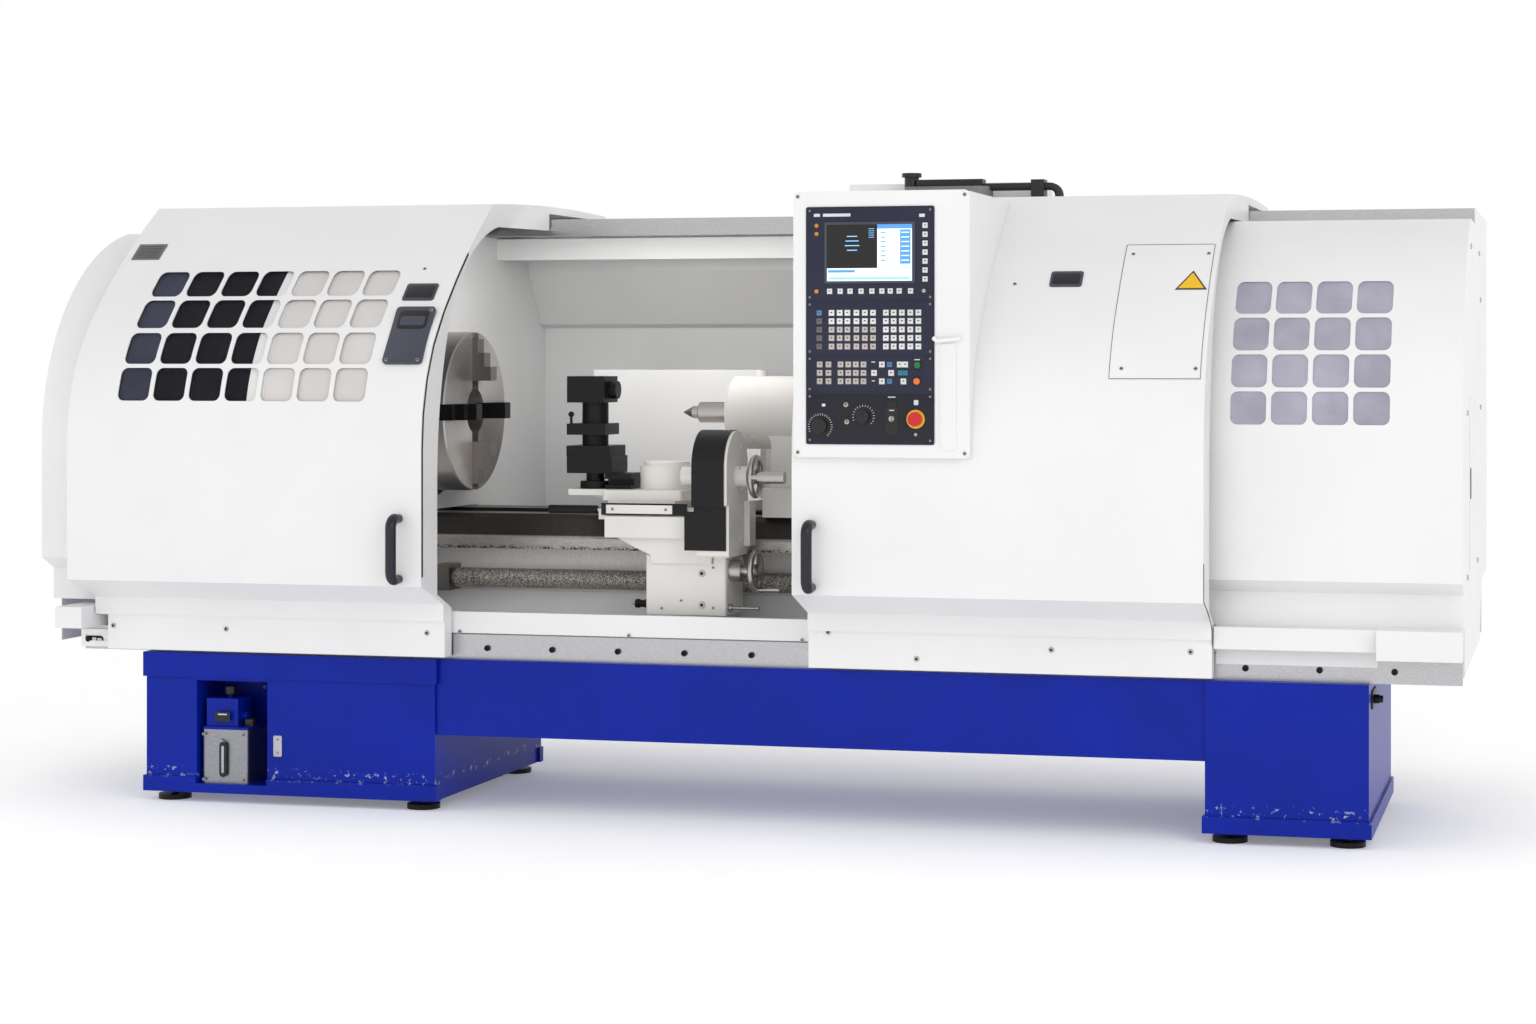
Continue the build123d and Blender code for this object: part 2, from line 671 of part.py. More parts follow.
jaw_inner = 96.0
jaw_inset = 22.0  # jaws inside the chuck's rim
jaw_outer = chuck_radius - jaw_inset
jaw_height = 62.0
for number, angle in enumerate(jaw_angles, start=1):
    out = Plane(
        origin=(chuck_face, spindle_y, spindle_z),
        x_dir=(0, math.cos(math.radians(angle)), math.sin(math.radians(angle))),
        z_dir=(0, math.sin(math.radians(angle)), -math.cos(math.radians(angle))),
    )
    jaw_half = jaw_width / 2 - slide_gap
    with BuildPart() as jaw:
        with BuildSketch(out.offset(-jaw_half)):
            with BuildLine():
                Polyline(
                    (jaw_inner, -jaw_slot_depth + slide_gap),
                    (jaw_outer, -jaw_slot_depth + slide_gap),
                    (jaw_outer, jaw_height * 0.3),
                    (jaw_outer - 44.0, jaw_height * 0.3),
                    (jaw_outer - 44.0, jaw_height * 0.65),
                    (jaw_outer - 88.0, jaw_height * 0.65),
                    (jaw_outer - 88.0, jaw_height),
                    (jaw_inner, jaw_height),
                    close=True,
                )
            make_face()
        extrude(amount=2 * jaw_half)
    write(jaw, "jaw_" + str(number))

motor_x = (head_left - 20.0, head_left - 20.0 + motor_length)
with BuildPart() as spindle_motor:
    rod_x(motor_x[0], motor_length, motor_y, motor_z, motor_radius)
    foot_z = motor_z - motor_radius
    foot_y = (way_rear + seat_gap, motor_y + 140.0)
    block((motor_x[0] + 90.0, motor_x[1]), foot_y, (foot_z - 60.0, foot_z + 6.0))
    box_y = (motor_y - 60.0, motor_y + 60.0)
    block((motor_x[0] + 120.0, motor_x[0] + 260.0), box_y, (motor_z + 110.0, motor_z + 180.0))
    rod_x(motor_x[0], 120.0, motor_y, motor_z, motor_shaft + run_gap, Mode.SUBTRACT)
write(spindle_motor, "spindle_motor")

with BuildPart() as motor_pulley:
    rod_x(pulley_x, motor_x[0] + 100.0 - pulley_x, motor_y, motor_z, motor_shaft)
    rod_x(pulley_x, pulley_width, motor_y, motor_z, motor_pulley_radius + 6.0)
    with BuildSketch(Plane.YZ.offset(belt_x[0])) as groove:
        with Locations((motor_y, motor_z)):
            Circle(motor_pulley_radius + 7.0)
            Circle(motor_pulley_radius, mode=Mode.SUBTRACT)
    extrude(groove.sketch, amount=belt_x[1] - belt_x[0], mode=Mode.SUBTRACT)
write(motor_pulley, "motor_pulley")


def belt_outline(extra):
    """The outline of two circles joined by their outer tangents, each circle larger by extra."""
    big = pulley_radius + extra
    small = motor_pulley_radius + extra
    span = math.hypot(motor_y - spindle_y, motor_z - spindle_z)
    lean = math.atan2(motor_z - spindle_z, motor_y - spindle_y)
    spread = math.acos((big - small) / span)

    def rim(y, z, radius, angle):
        return (y + radius * math.cos(angle), z + radius * math.sin(angle))

    big_up = rim(spindle_y, spindle_z, big, lean + spread)
    big_down = rim(spindle_y, spindle_z, big, lean - spread)
    small_up = rim(motor_y, motor_z, small, lean + spread)
    small_down = rim(motor_y, motor_z, small, lean - spread)
    big_far = rim(spindle_y, spindle_z, big, lean + math.pi)
    small_far = rim(motor_y, motor_z, small, lean)
    with BuildLine() as outline:
        Line(big_up, small_up)
        ThreePointArc(small_up, small_far, small_down)
        Line(small_down, big_down)
        ThreePointArc(big_down, big_far, big_up)
    return outline.edges()


with BuildPart() as drive_belt:
    with BuildSketch(Plane.YZ.offset(belt_x[0] + 1.0)) as belt_section:
        make_face(belt_outline(belt_thickness + seat_gap))
        with BuildSketch(mode=Mode.PRIVATE) as belt_inside:
            make_face(belt_outline(seat_gap))
        add(belt_inside.sketch, mode=Mode.SUBTRACT)
    extrude(belt_section.sketch, amount=belt_x[1] - belt_x[0] - 2.0)
write(drive_belt, "drive_belt")


# ================================================================ doors
def door_outline():
    """The doors' closed section: band, skirt, slope, upright face, two arcs and an arched roof."""
    roof_end = front + 1390.0
    with BuildLine() as outline:
        foot = Polyline(
            (roof_end, door_band_bottom),
            (front - 24.0, door_band_bottom),
            (front - 24.0, 575.0),
            (front - 34.0, 575.0),
            (front - 34.0, 627.0),
            (door_face, 692.0),
        )
        face = Line(foot @ 1, (door_face, 1100.0))
        bend = TangentArc(face @ 1, (door_face + 148.0, 1485.0), tangent=face % 1)
        brow = TangentArc(bend @ 1, (door_face + 565.0, 1845.0), tangent=bend % 1)
        roof = ThreePointArc(brow @ 1, (front + 900.0, 1862.0), (roof_end, 1854.0))
        Line(roof @ 1, (roof_end, door_band_bottom))
    return outline.edges()


def door_inside():
    """The space behind the doors' side flanges, which their section leaves free."""
    low = door_band_bottom - 10.0
    with BuildLine() as outline:
        foot = Polyline(
            (front + 1500.0, low),
            (front + 28.0, low),
            (front + 28.0, 612.0),
            (front - 80.0, 660.0),
        )
        edge = Line(foot @ 1, (front - 80.0, 1000.0))
        bend = TangentArc(edge @ 1, (front, 1438.0), tangent=edge % 1)
        brow = TangentArc(bend @ 1, (front + 402.0, 1775.0), tangent=bend % 1)
        Polyline(
            brow @ 1,
            (upper_rail_front - 5.0, 1783.0),
            (upper_rail_front - 5.0, roof_z + 18.0),
            (front + 1500.0, roof_z + 18.0),
            (front + 1500.0, low),
        )
    return outline.edges()


def door_band(x, length, outer, inner):
    """A layer that follows the doors' section, between two offsets from its outer surface."""
    with BuildSketch(Plane.YZ.offset(x)) as layer:
        with BuildSketch(mode=Mode.PRIVATE) as outside:
            make_face(door_outline())
            if outer:
                offset(amount=outer, kind=Kind.INTERSECTION)
        with BuildSketch(mode=Mode.PRIVATE) as inside:
            make_face(door_outline())
            if inner:
                offset(amount=inner, kind=Kind.INTERSECTION)
        add(outside.sketch)
        add(inside.sketch, mode=Mode.SUBTRACT)
    extrude(layer.sketch, amount=length)


def door_shell(x, width):
    """A door: curved skin and roof, side flanges, and hanging blocks that run on the upper rail."""
    with BuildSketch(Plane.YZ.offset(x)) as body:
        make_face(door_outline())
        with BuildSketch(mode=Mode.PRIVATE) as free:
            make_face(door_inside())
        add(free.sketch, mode=Mode.SUBTRACT)
    extrude(body.sketch, amount=width)
    with BuildSketch(Plane.YZ.offset(x + sheet)) as cavity:
        make_face(door_outline())
        offset(amount=-sheet, kind=Kind.INTERSECTION)
    extrude(cavity.sketch, amount=width - 2 * sheet, mode=Mode.SUBTRACT)
    for hanger_x in (x + 60.0, x + width - 140.0):
        hanger_y = (upper_rail_front + 8.0, upper_rail_y[1] - 8.0)
        block((hanger_x, hanger_x + 80.0), hanger_y, (roof_z + seat_gap, 1862.0 - 0.5 * sheet))
        shoe_y = (front - 23.0, rail_front - seat_gap)
        block((hanger_x, hanger_x + 80.0), shoe_y, (506.0, 530.0))


with BuildPart() as left_door:
    door_shell(left_door_left, left_door_width)
    band_start = left - 118.0
    band_z = (door_band_bottom, 572.0)
    block((left_door_left - 1.0, band_start), (front - 30.0, front + 40.0), band_z, Mode.SUBTRACT)
    block((band_start, band_start + sheet), (front - 24.0, front + 28.0), band_z)
    block((left_door_left, band_start + sheet), (front - 24.0, front + 28.0), (572.0, 575.0))
    for low, high in left_window_rows:
        row_y = Plane.XZ.offset(-front - 500.0)
        with BuildSketch(row_y) as row:
            for i in range(left_window_columns):
                cell_x = left_window_start + left_window_width / 2 + i * left_window_pitch
                with Locations((cell_x, (low + high) / 2)):
                    RectangleRounded(left_window_width, high - low, window_corner)
        extrude(row.sketch, amount=800.0, mode=Mode.SUBTRACT)
write(left_door, "left_door")

with BuildPart() as left_window:
    glass_x = left_window_start - 25.0
    glass_width = left_window_columns * left_window_pitch + 40.0
    door_band(glass_x, glass_width, -sheet, -2 * sheet)
    glass_low = left_window_rows[0][0] - 20.0
    glass_high = left_window_rows[-1][1] + 20.0
    glass_y = (door_face - 10.0, door_face + 500.0)
    block((glass_x, glass_x + glass_width), glass_y, (glass_low, glass_high), Mode.INTERSECT)
write(left_window, "left_window")

with BuildPart() as right_door:
    door_shell(right_door_left, right_door_width)
write(right_door, "right_door")


def bow_handle(x):
    """A round bow handle whose two thinner posts stand on the door's face."""
    bar_y = door_face - handle_stand_off
    neck_y = door_face - handle_stand_off / 2
    low = handle_z - handle_spacing / 2
    high = handle_z + handle_spacing / 2
    with BuildLine() as path:
        FilletPolyline((x, neck_y, low), (x, bar_y, low), (x, bar_y, high), (x, neck_y, high), radius=handle_bend)
    with BuildSketch(Plane(origin=(x, neck_y, low), x_dir=(1, 0, 0), z_dir=(0, -1, 0))) as bar:
        Circle(handle_radius)
    sweep(bar.sketch, path=path.line)
    for z in (low, high):
        rod_y(neck_y - 1.0, door_face - neck_y + 1.0, x, z, handle_post_radius)


with BuildPart() as left_handle:
    bow_handle(left_door_left + left_door_width - left_handle_inset)
write(left_handle, "left_handle")

with BuildPart() as right_handle:
    bow_handle(right_door_left + right_handle_inset)
write(right_handle, "right_handle")

with BuildPart() as access_cover:
    cover_x = (right_door_right - 270.0, right_door_right - 12.0)
    door_band(cover_x[0], cover_x[1] - cover_x[0], 2.0, 0.0)
    cover_y = (door_face - 10.0, door_face + 420.0)
    block(cover_x, cover_y, (1305.0, 1692.0), Mode.INTERSECT)
write(access_cover, "access_cover")

# ================================================================ pendant
pendant_right = pendant_left + pendant_width
plate_back = pendant_front + plate_thickness
bezel_x = (bezel_left, bezel_left + bezel_width)
bezel_z = (bezel_bottom, bezel_top)
with BuildPart() as pendant:
    with BuildSketch(Plane.YZ.offset(pendant_left)) as box_side:
        with BuildLine():
            Polyline(
                (plate_back, pendant_plate_bottom + 4.0),
                (plate_back, pendant_top - 4.0),
                (front + 362.0, pendant_top - 4.0),
                (front + 362.0, pendant_bottom),
                (door_face + 30.0, pendant_bottom),
                close=True,
            )
        make_face()
        with BuildSketch(mode=Mode.PRIVATE) as door_face_cut:
            make_face(door_outline())
            offset(amount=2 * seat_gap, kind=Kind.INTERSECTION)
        add(door_face_cut.sketch, mode=Mode.SUBTRACT)
    extrude(box_side.sketch, amount=pendant_width)
    with BuildSketch(Plane.YZ.offset(pendant_left + sheet)) as box_hollow:
        with BuildLine():
            Polyline(
                (plate_back - 1.0, pendant_plate_bottom + 8.0),
                (plate_back - 1.0, pendant_top - 4.0 - sheet),
                (front + 380.0, pendant_top - 4.0 - sheet),
                (front + 380.0, pendant_bottom + sheet),
                (door_face + 30.0, pendant_bottom + sheet),
                close=True,
            )
        make_face()
    extrude(box_hollow.sketch, amount=pendant_width - 2 * sheet, mode=Mode.SUBTRACT)
    plate_x = (pendant_left, pendant_right)
    with BuildSketch(Plane.XZ.offset(-plate_back)) as front_plate:
        with Locations(((plate_x[0] + plate_x[1]) / 2, (pendant_plate_bottom + pendant_top) / 2)):
            RectangleRounded(pendant_width, pendant_top - pendant_plate_bottom, 16)
        with Locations(((bezel_x[0] + bezel_x[1]) / 2, (bezel_z[0] + bezel_z[1]) / 2)):
            Rectangle(bezel_width - 24.0, bezel_top - bezel_bottom - 24.0, mode=Mode.SUBTRACT)
    extrude(front_plate.sketch, amount=plate_thickness)
write(pendant, "pendant")

start_xz = (bezel_left + 325.0, 1344.0)
hold_xz = (bezel_left + 323.0, 1299.0)
stop_xz = (bezel_left + 319.0, 1193.0)
feed_xz = (bezel_left + 42.0, 1172.0)
jog_xz = (bezel_left + 168.0, 1200.0)
key_xz = (bezel_left + 250.0, 1194.0)
with BuildPart() as panel_bezel:
    block(bezel_x, (bezel_front, pendant_front), bezel_z)
    fillet(panel_bezel.edges().filter_by(Axis.Y), radius=6)
    for x, z in (start_xz, hold_xz):
        rod_y(bezel_front - 5.0, 5.0, x, z, 12.0)
        rod_y(bezel_front - 5.0, 5.0, x, z, 9.5, Mode.SUBTRACT)
    for x, z in (start_xz, hold_xz, stop_xz, feed_xz, jog_xz, key_xz):
        rod_y(bezel_front - 1.0, 5.0, x, z, control_shaft + run_gap, Mode.SUBTRACT)
write(panel_bezel, "panel_bezel")

key_size = 11.0
key_height = 1.5


def key_grid(x, z, count_x, count_z, pitch_x, pitch_z, size=key_size):
    """A grid of raised square keys, from the top left key's centre."""
    for column in range(count_x):
        for line in range(count_z):
            key_x = x + column * pitch_x
            key_z = z - line * pitch_z
            half = size / 2
            key_y = (bezel_front - key_height, bezel_front)
            block((key_x - half, key_x + half), key_y, (key_z - half, key_z + half))


with BuildPart() as keys:
    key_grid(bezel_left + 66.0, 1552.0, 9, 1, 26.0, 10.0)
    key_grid(bezel_left + 342.0, 1742.0, 1, 7, 10.0, 27.0, 14.0)
    key_grid(bezel_left + 26.0, 1508.0, 1, 5, 20.0, 26.0)
    key_grid(bezel_left + 64.0, 1508.0, 6, 5, 24.0, 26.0, 15.0)
    key_grid(bezel_left + 232.0, 1508.0, 5, 5, 26.0, 26.0, 15.0)
    key_grid(bezel_left + 26.0, 1356.0, 2, 3, 26.0, 26.0, 15.0)
    key_grid(bezel_left + 92.0, 1356.0, 4, 3, 26.0, 26.0, 15.0)
    key_grid(bezel_left + 216.0, 1356.0, 3, 3, 26.0, 26.0, 15.0)
write(keys, "keys")


def control(x, z, profile):
    """A turned control on the panel: (radius, depth) steps outwards, and a shaft through the panel."""
    rod_y(bezel_front - seat_gap, 24.0, x, z, control_shaft)
    y = bezel_front - seat_gap
    for radius, depth in profile:
        rod_y(y - depth, depth, x, z, radius)
        y -= depth


controls = {
    "cycle_start_button": (start_xz, ((control_shaft, 4.0), (9.0, 5.0))),
    "feed_hold_button": (hold_xz, ((control_shaft, 4.0), (9.0, 5.0))),
    "emergency_stop": (stop_xz, ((control_shaft, 8.0), (20.0, 9.0))),
    "feed_dial": (feed_xz, ((26.0, 3.0), (21.0, 12.0))),
    "jog_dial": (jog_xz, ((23.0, 3.0), (18.0, 12.0))),
    "key_switch": (key_xz, ((11.0, 2.0), (8.0, 4.0))),
}
for label, (place, profile) in controls.items():
    with BuildPart() as knob:
        control(place[0], place[1], profile)
        if label == "key_switch":
            key_y = (bezel_front - 16.5, bezel_front - 6.0)
            block((place[0] - 1.2, place[0] + 1.2), key_y, (place[1] - 8.0, place[1] + 8.0))
        if label in ("feed_dial", "jog_dial"):
            pointer_y = (bezel_front - 16.5, bezel_front - 3.0)
            block((place[0] - 1.5, place[0] + 1.5), pointer_y, (place[1], place[1] + 16.0))
    write(knob, label)

post_x = right_door_left + 196.0
arm_y = front + 440.0
conduit_y = (arm_y - 13.0, arm_y + 13.0)
roof_low = 1835.0


def trim_to_roof(x, length):
    """Cut away what lies below the doors' roof, and a seat gap above it."""
    with BuildSketch(Plane.YZ.offset(x)) as roof_cut:
        make_face(door_outline())
        offset(amount=seat_gap, kind=Kind.INTERSECTION)
    extrude(roof_cut.sketch, amount=length, mode=Mode.SUBTRACT)


with BuildPart() as cable_arm:
    rod_z(roof_low, 1913.0 - roof_low, post_x, arm_y, 22.0)
    rod_z(1913.0, 12.0, post_x, arm_y, 30.0)
    arm_x = (post_x + 20.0, post_x + 225.0)
    block(arm_x, (arm_y - 25.0, arm_y + 25.0), (1886.0, 1904.0))
    block((arm_x[1] - 24.0, arm_x[1]), (arm_y - 25.0, arm_y + 25.0), (1867.0, 1904.0))
    clamp_x = post_x + 394.0
    block((clamp_x - 20.0, clamp_x + 20.0), (arm_y - 28.0, arm_y + 28.0), (roof_low, 1900.0))
    for y in conduit_y:
        rod_x(clamp_x - 21.0, 42.0, y, 1880.0, conduit_radius + seat_gap, Mode.SUBTRACT)
    trim_to_roof(post_x - 60.0, clamp_x - post_x + 120.0)
write(cable_arm, "cable_arm")

with BuildPart() as conduits:
    for y in conduit_y:
        start_x = arm_x[1] + seat_gap
        bend_x = clamp_x + 62.0
        with BuildLine():
            FilletPolyline((start_x, y, 1880.0), (bend_x, y, 1880.0), (bend_x, y, roof_low), radius=28)
        with BuildSketch(Plane(origin=(start_x, y, 1880.0), x_dir=(0, 1, 0), z_dir=(1, 0, 0))):
            Circle(conduit_radius)
        sweep()
    trim_to_roof(start_x, bend_x - start_x + 60.0)
write(conduits, "conduits")

# ================================================================ carriage
apron_y = (apron_front, apron_front + apron_depth)
apron_x = (apron_left, apron_left + apron_width)
saddle_x = (saddle_left, saddle_left + saddle_width)
over_bed = bed_top + seat_gap
with BuildPart() as saddle:
    block(saddle_x, (front + 100.0, way_rear + 30.0), (over_bed, saddle_top - 24.0))
    guide_x = (slide_left + 20.0, slide_left + slide_width - 20.0)
    block(guide_x, (front + 130.0, way_rear + 20.0), (saddle_top - 24.0, saddle_top))
    wing_x = (left + 1462.0, left + 1733.0)
    block(wing_x, (front + 90.0, way_front - seat_gap), (827.0, over_bed + 10.0))
    with BuildSketch(Plane.XZ.offset(-front - 110.0)) as neck:
        with BuildLine():
            Polyline(
                (left + 1490.0, 828.0),
                (left + 1733.0, 828.0),
                (housing_left - seat_gap, 785.0),
                (housing_left - seat_gap, apron_top),
                (left + 1790.0, apron_top),
                (left + 1790.0, apron_top - 24.0),
                (left + 1600.0, apron_top - 24.0),
                (left + 1600.0, apron_top),
                (left + 1545.0, 800.0),
                close=True,
            )
        make_face()
    extrude(neck.sketch, amount=-175.0)
    block(wing_x, (way_rear + 0.5, way_rear + 30.0), (820.0, over_bed + 5.0))
write(saddle, "saddle")

with BuildPart() as apron:
    block(apron_x, apron_y, (apron_bottom, apron_top - 24.3))
    block((apron_x[0], left + 1599.0), apron_y, (apron_top - 24.5, apron_top))
    block((left + 1791.0, apron_x[1]), apron_y, (apron_top - 24.5, apron_top))
    chamfer(apron.edges().filter_by(Axis.Z).group_by(Axis.Y)[0], length=4)
    nut_y = (apron_y[1] - 1.0, screw_y + 42.0)
    block((left + 1640.0, left + 1760.0), nut_y, (screw_z - 38.0, screw_z + 55.0))
    rod_x(apron_left - 5.0, apron_width + 10.0, screw_y, screw_z, screw_radius + run_gap, Mode.SUBTRACT)
    rod_x(apron_x[1] - 40.0, 50.0, lower_wheel_y, lower_wheel_z, wheel_shaft + run_gap, Mode.SUBTRACT)
write(apron, "apron")

guard_y = front + 880.0
guard_left = left + 1140.0
guard_right = left + 1712.0
with BuildPart() as rear_guard:
    block((guard_left, guard_right), (guard_y, guard_y + sheet), (905.0, 1325.0))
    block((guard_right - sheet, guard_right), (guard_y, guard_y + 60.0), (905.0, 1325.0))
    tab_x = (saddle_left + 20.0, saddle_left + saddle_width - 60.0)
    block(tab_x, (way_rear + 30.0 + seat_gap, guard_y + 1.0), (905.0, 908.0))
    block(tab_x, (way_rear + 30.0 + seat_gap, way_rear + 34.0), (884.0, 908.0))
write(rear_guard, "rear_guard")

housing_x = (housing_left, housing_left + housing_width)
disc_radius = 107.0
disc_z = 1040.0
with BuildPart() as guard_housing:
    rod_x(housing_x[0], housing_width, housing_y, disc_z, disc_radius)
    lower_y = (housing_y - disc_radius + 22.0, housing_y + disc_radius)
    block(housing_x, (housing_y - disc_radius, housing_y + disc_radius), (930.0, disc_z))
    block(housing_x, lower_y, (apron_top + seat_gap, 931.0))
    chamfer(guard_housing.edges().filter_by(Axis.X).group_by(Axis.Z)[0], length=6)
    casing_x = (housing_x[1] - 1.0, left + 1882.0)
    block(casing_x, (front + 200.0, front + 262.0), (800.0, 935.0))
    rod_x(left + 1695.0, housing_x[0] - left - 1695.0, housing_y, wheel_z, 27.0)
    rod_x(housing_x[1], 36.0, housing_y, wheel_z, 30.0)
    rod_x(housing_x[1] - 20.0, 70.0, housing_y, wheel_z, wheel_shaft + run_gap, Mode.SUBTRACT)
write(guard_housing, "guard_housing")


def handwheel(x_start, x_wheel, y, z):
    """A handwheel on a shaft along X: hub, three spokes, rim."""
    rod_x(x_start, x_wheel + 22.0 - x_start, y, z, wheel_shaft)
    rod_x(x_wheel - 2.0, 26.0, y, z, 22.0)
    rim_section = Plane(origin=(x_wheel + 10.0, y, z), x_dir=(0, 1, 0), z_dir=(0, 0, 1))
    with BuildSketch(rim_section) as rim:
        with Locations((wheel_radius - 9.0, 0)):
            Circle(9.0)
    revolve(rim.sketch, axis=Axis((x_wheel + 10.0, y, z), (1, 0, 0)), revolution_arc=360)
    for turn in (90, 210, 330):
        reach = wheel_radius - 9.0
        spoke_dir = (0, math.cos(math.radians(turn)), math.sin(math.radians(turn)))
        with BuildSketch(Plane(origin=(x_wheel + 10.0, y, z), x_dir=(1, 0, 0), z_dir=spoke_dir)) as spoke:
            Rectangle(9.0, 14.0)
        extrude(spoke.sketch, amount=reach)


with BuildPart() as upper_handwheel:
    handwheel(housing_x[1] - 15.0, left + 1912.0, housing_y, wheel_z)
    rod_x(left + 1920.0, 26.0, housing_y - wheel_radius + 10.0, wheel_z, 9.0)
    with BuildSketch(Plane.YZ.offset(left + 1946.0)) as grip_root:
        with Locations((housing_y - wheel_radius + 10.0, wheel_z)):
            Circle(15.0)
    with BuildSketch(Plane.YZ.offset(left + 1962.0)) as grip_end:
        with Locations((housing_y - wheel_radius + 10.0, wheel_z)):
            Circle(18.0)
    loft([grip_root.sketch.face(), grip_end.sketch.face()])
    rod_x(left + 1962.0, 66.0, housing_y - wheel_radius + 10.0, wheel_z, 18.0)
write(upper_handwheel, "upper_handwheel")

with BuildPart() as lower_handwheel:
    handwheel(apron_x[1] - 35.0, left + 1900.0, lower_wheel_y, lower_wheel_z)
    rod_x(apron_x[1] + seat_gap, 36.0, lower_wheel_y, lower_wheel_z, 33.0)
    rod_x(left + 1910.0, 74.0, lower_wheel_y, lower_wheel_z - wheel_radius + 9.0, 6.5)
write(lower_handwheel, "lower_handwheel")

lever_z = 618.0
lever_y = front + 150.0
with BuildPart() as apron_lever:
    rod_x(apron_x[1] + seat_gap, 10.0, lever_y, lever_z, 12.0)
    rod_x(apron_x[1] + 8.0, 80.0, lever_y, lever_z, 4.5)
    with Locations((apron_x[1] + 90.0, lever_y, lever_z)):
        Sphere(6.5)
write(apron_lever, "apron_lever")

slide_x = (slide_left, slide_left + slide_width)
with BuildPart() as cross_slide:
    block(slide_x, (slide_front, slide_front + slide_length), (saddle_top + seat_gap, slide_top))
    chamfer(cross_slide.edges().filter_by(Axis.Z), length=5)
    block((tool_x - 62.0, slide_left + 10.0), (tool_y - 70.0, tool_y + 90.0), (slide_top - 18.0, slide_top))
    rod_z(slide_top - 1.0, 26.0, tool_x, tool_y, 16.0)
write(cross_slide, "cross_slide")

with BuildPart() as tool_drum:
    drum_base = Plane(origin=(drum_x, tool_y, slide_top), z_dir=(0, 0, 1))
    with BuildSketch(drum_base) as drum_low:
        Circle(drum_radius)
    with BuildSketch(drum_base.offset(72.0)) as drum_high:
        Circle(drum_radius + 4.0)
    loft([drum_low.sketch.face(), drum_high.sketch.face()])
    rod_z(slide_top + 72.0, 12.0, drum_x, tool_y, drum_radius - 8.0)
write(tool_drum, "tool_drum")

stack_bottom = slide_top + seat_gap
stack = (
    (46.0, "round", 22.0, 0.0),
    (28.0, "round", 26.0, 0.0),
    (72.0, "square", 51.0, 6.0),
    (70.0, "square", 32.0, 2.0),
    (40.0, "round", 33.0, 0.0),
    (62.0, "square", 34.0, -8.0),
    (40.0, "round", 64.0, 0.0),
    (60.0, "square", 80.0, -10.0),
)
with BuildPart() as tool_head:
    level = stack_bottom
    for half, shape, height, shift in stack:
        if shape == "round":
            rod_z(level, height, tool_x, tool_y, half)
        else:
            centre = tool_x + shift
            block((centre - half, centre + half), (tool_y - half, tool_y + half), (level, level + height))
        level += height
    rod_x(tool_x + 50.0, 24.0, tool_y, level - 42.0, 27.0)
    rod_z(stack_bottom - 1.0, 30.0, tool_x, tool_y, 16.0 + run_gap, Mode.SUBTRACT)
    knob_xy = (tool_x - 62.0, tool_y - 44.0)
    rod_z(stack_bottom + 180.0, 40.0, knob_xy[0], knob_xy[1], 4.0)
    with Locations((knob_xy[0], knob_xy[1], stack_bottom + 226.0)):
        Sphere(9.0)
write(tool_head, "tool_head")

with BuildPart() as tool_holder:
    holder_x = (tool_x + 46.0 + seat_gap, tool_x + 130.0)
    block(holder_x, (tool_y - 45.0, tool_y + 45.0), (stack_bottom, stack_bottom + 48.0 - seat_gap))
    block(holder_x, (tool_y - 45.0, tool_y - 15.0), (stack_bottom + 12.0, stack_bottom + 30.0), Mode.SUBTRACT)
write(tool_holder, "tool_holder")

# ================================================================ tailstock
tail_right = tail_left + tail_length
head_box_right = tail_right - 30.0
with BuildPart() as tailstock:
    block((tail_left, tail_right), (way_front + 6.0, way_rear - 6.0), (over_bed, 968.0))
    pillar_y = (spindle_y - 88.0, spindle_y + 88.0)
    block((tail_left + 20.0, tail_right - 60.0), pillar_y, (967.0, spindle_z))
    rod_x(tail_head_left, head_box_right - tail_head_left, spindle_y, spindle_z, tail_head_radius)
    chamfer(tailstock.edges().filter_by(GeomType.CIRCLE).filter_by(lambda e: e.radius > 100), length=10)
    rod_z(spindle_z + tail_head_radius - 6.0, 24.0, tail_head_left + 90.0, spindle_y, 16.0)
    quill_hole = quill_radius + run_gap
    rod_x(tail_head_left - 1.0, 380.0, spindle_y, spindle_z, quill_hole, Mode.SUBTRACT)
write(tailstock, "tailstock")

with BuildPart() as quill:
    rod_x(quill_left, 420.0, spindle_y, spindle_z, quill_radius)
    chamfer(quill.edges().filter_by(GeomType.CIRCLE), length=3)
    rod_x(quill_left, 90.0, spindle_y, spindle_z, centre_radius + run_gap, Mode.SUBTRACT)
write(quill, "quill")

with BuildPart() as live_center:
    with BuildSketch(Plane(origin=(centre_tip, spindle_y, spindle_z), x_dir=(1, 0, 0), z_dir=(0, 0, 1))) as point:
        with BuildLine():
            Polyline(
                (0.0, 0.0),
                (34.0, 19.0),
                (54.0, 19.0),
                (54.0, centre_radius),
                (140.0, centre_radius),
                (140.0, 0.0),
                close=True,
            )
        make_face()
    revolve(point.sketch, axis=Axis((centre_tip, spindle_y, spindle_z), (1, 0, 0)), revolution_arc=360)
write(live_center, "live_center")
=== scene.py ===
"""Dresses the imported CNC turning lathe: finishes, fittings, control panel, stage and camera.

Lengths are metres. Places are written from the base's left end (x), back from its front face (y)
and up from the floor (z), and at() moves them into the frame's axes.
"""

import json
import math

import bmesh
import bpy
from mathutils import Matrix, Vector
from mathutils.bvhtree import BVHTree

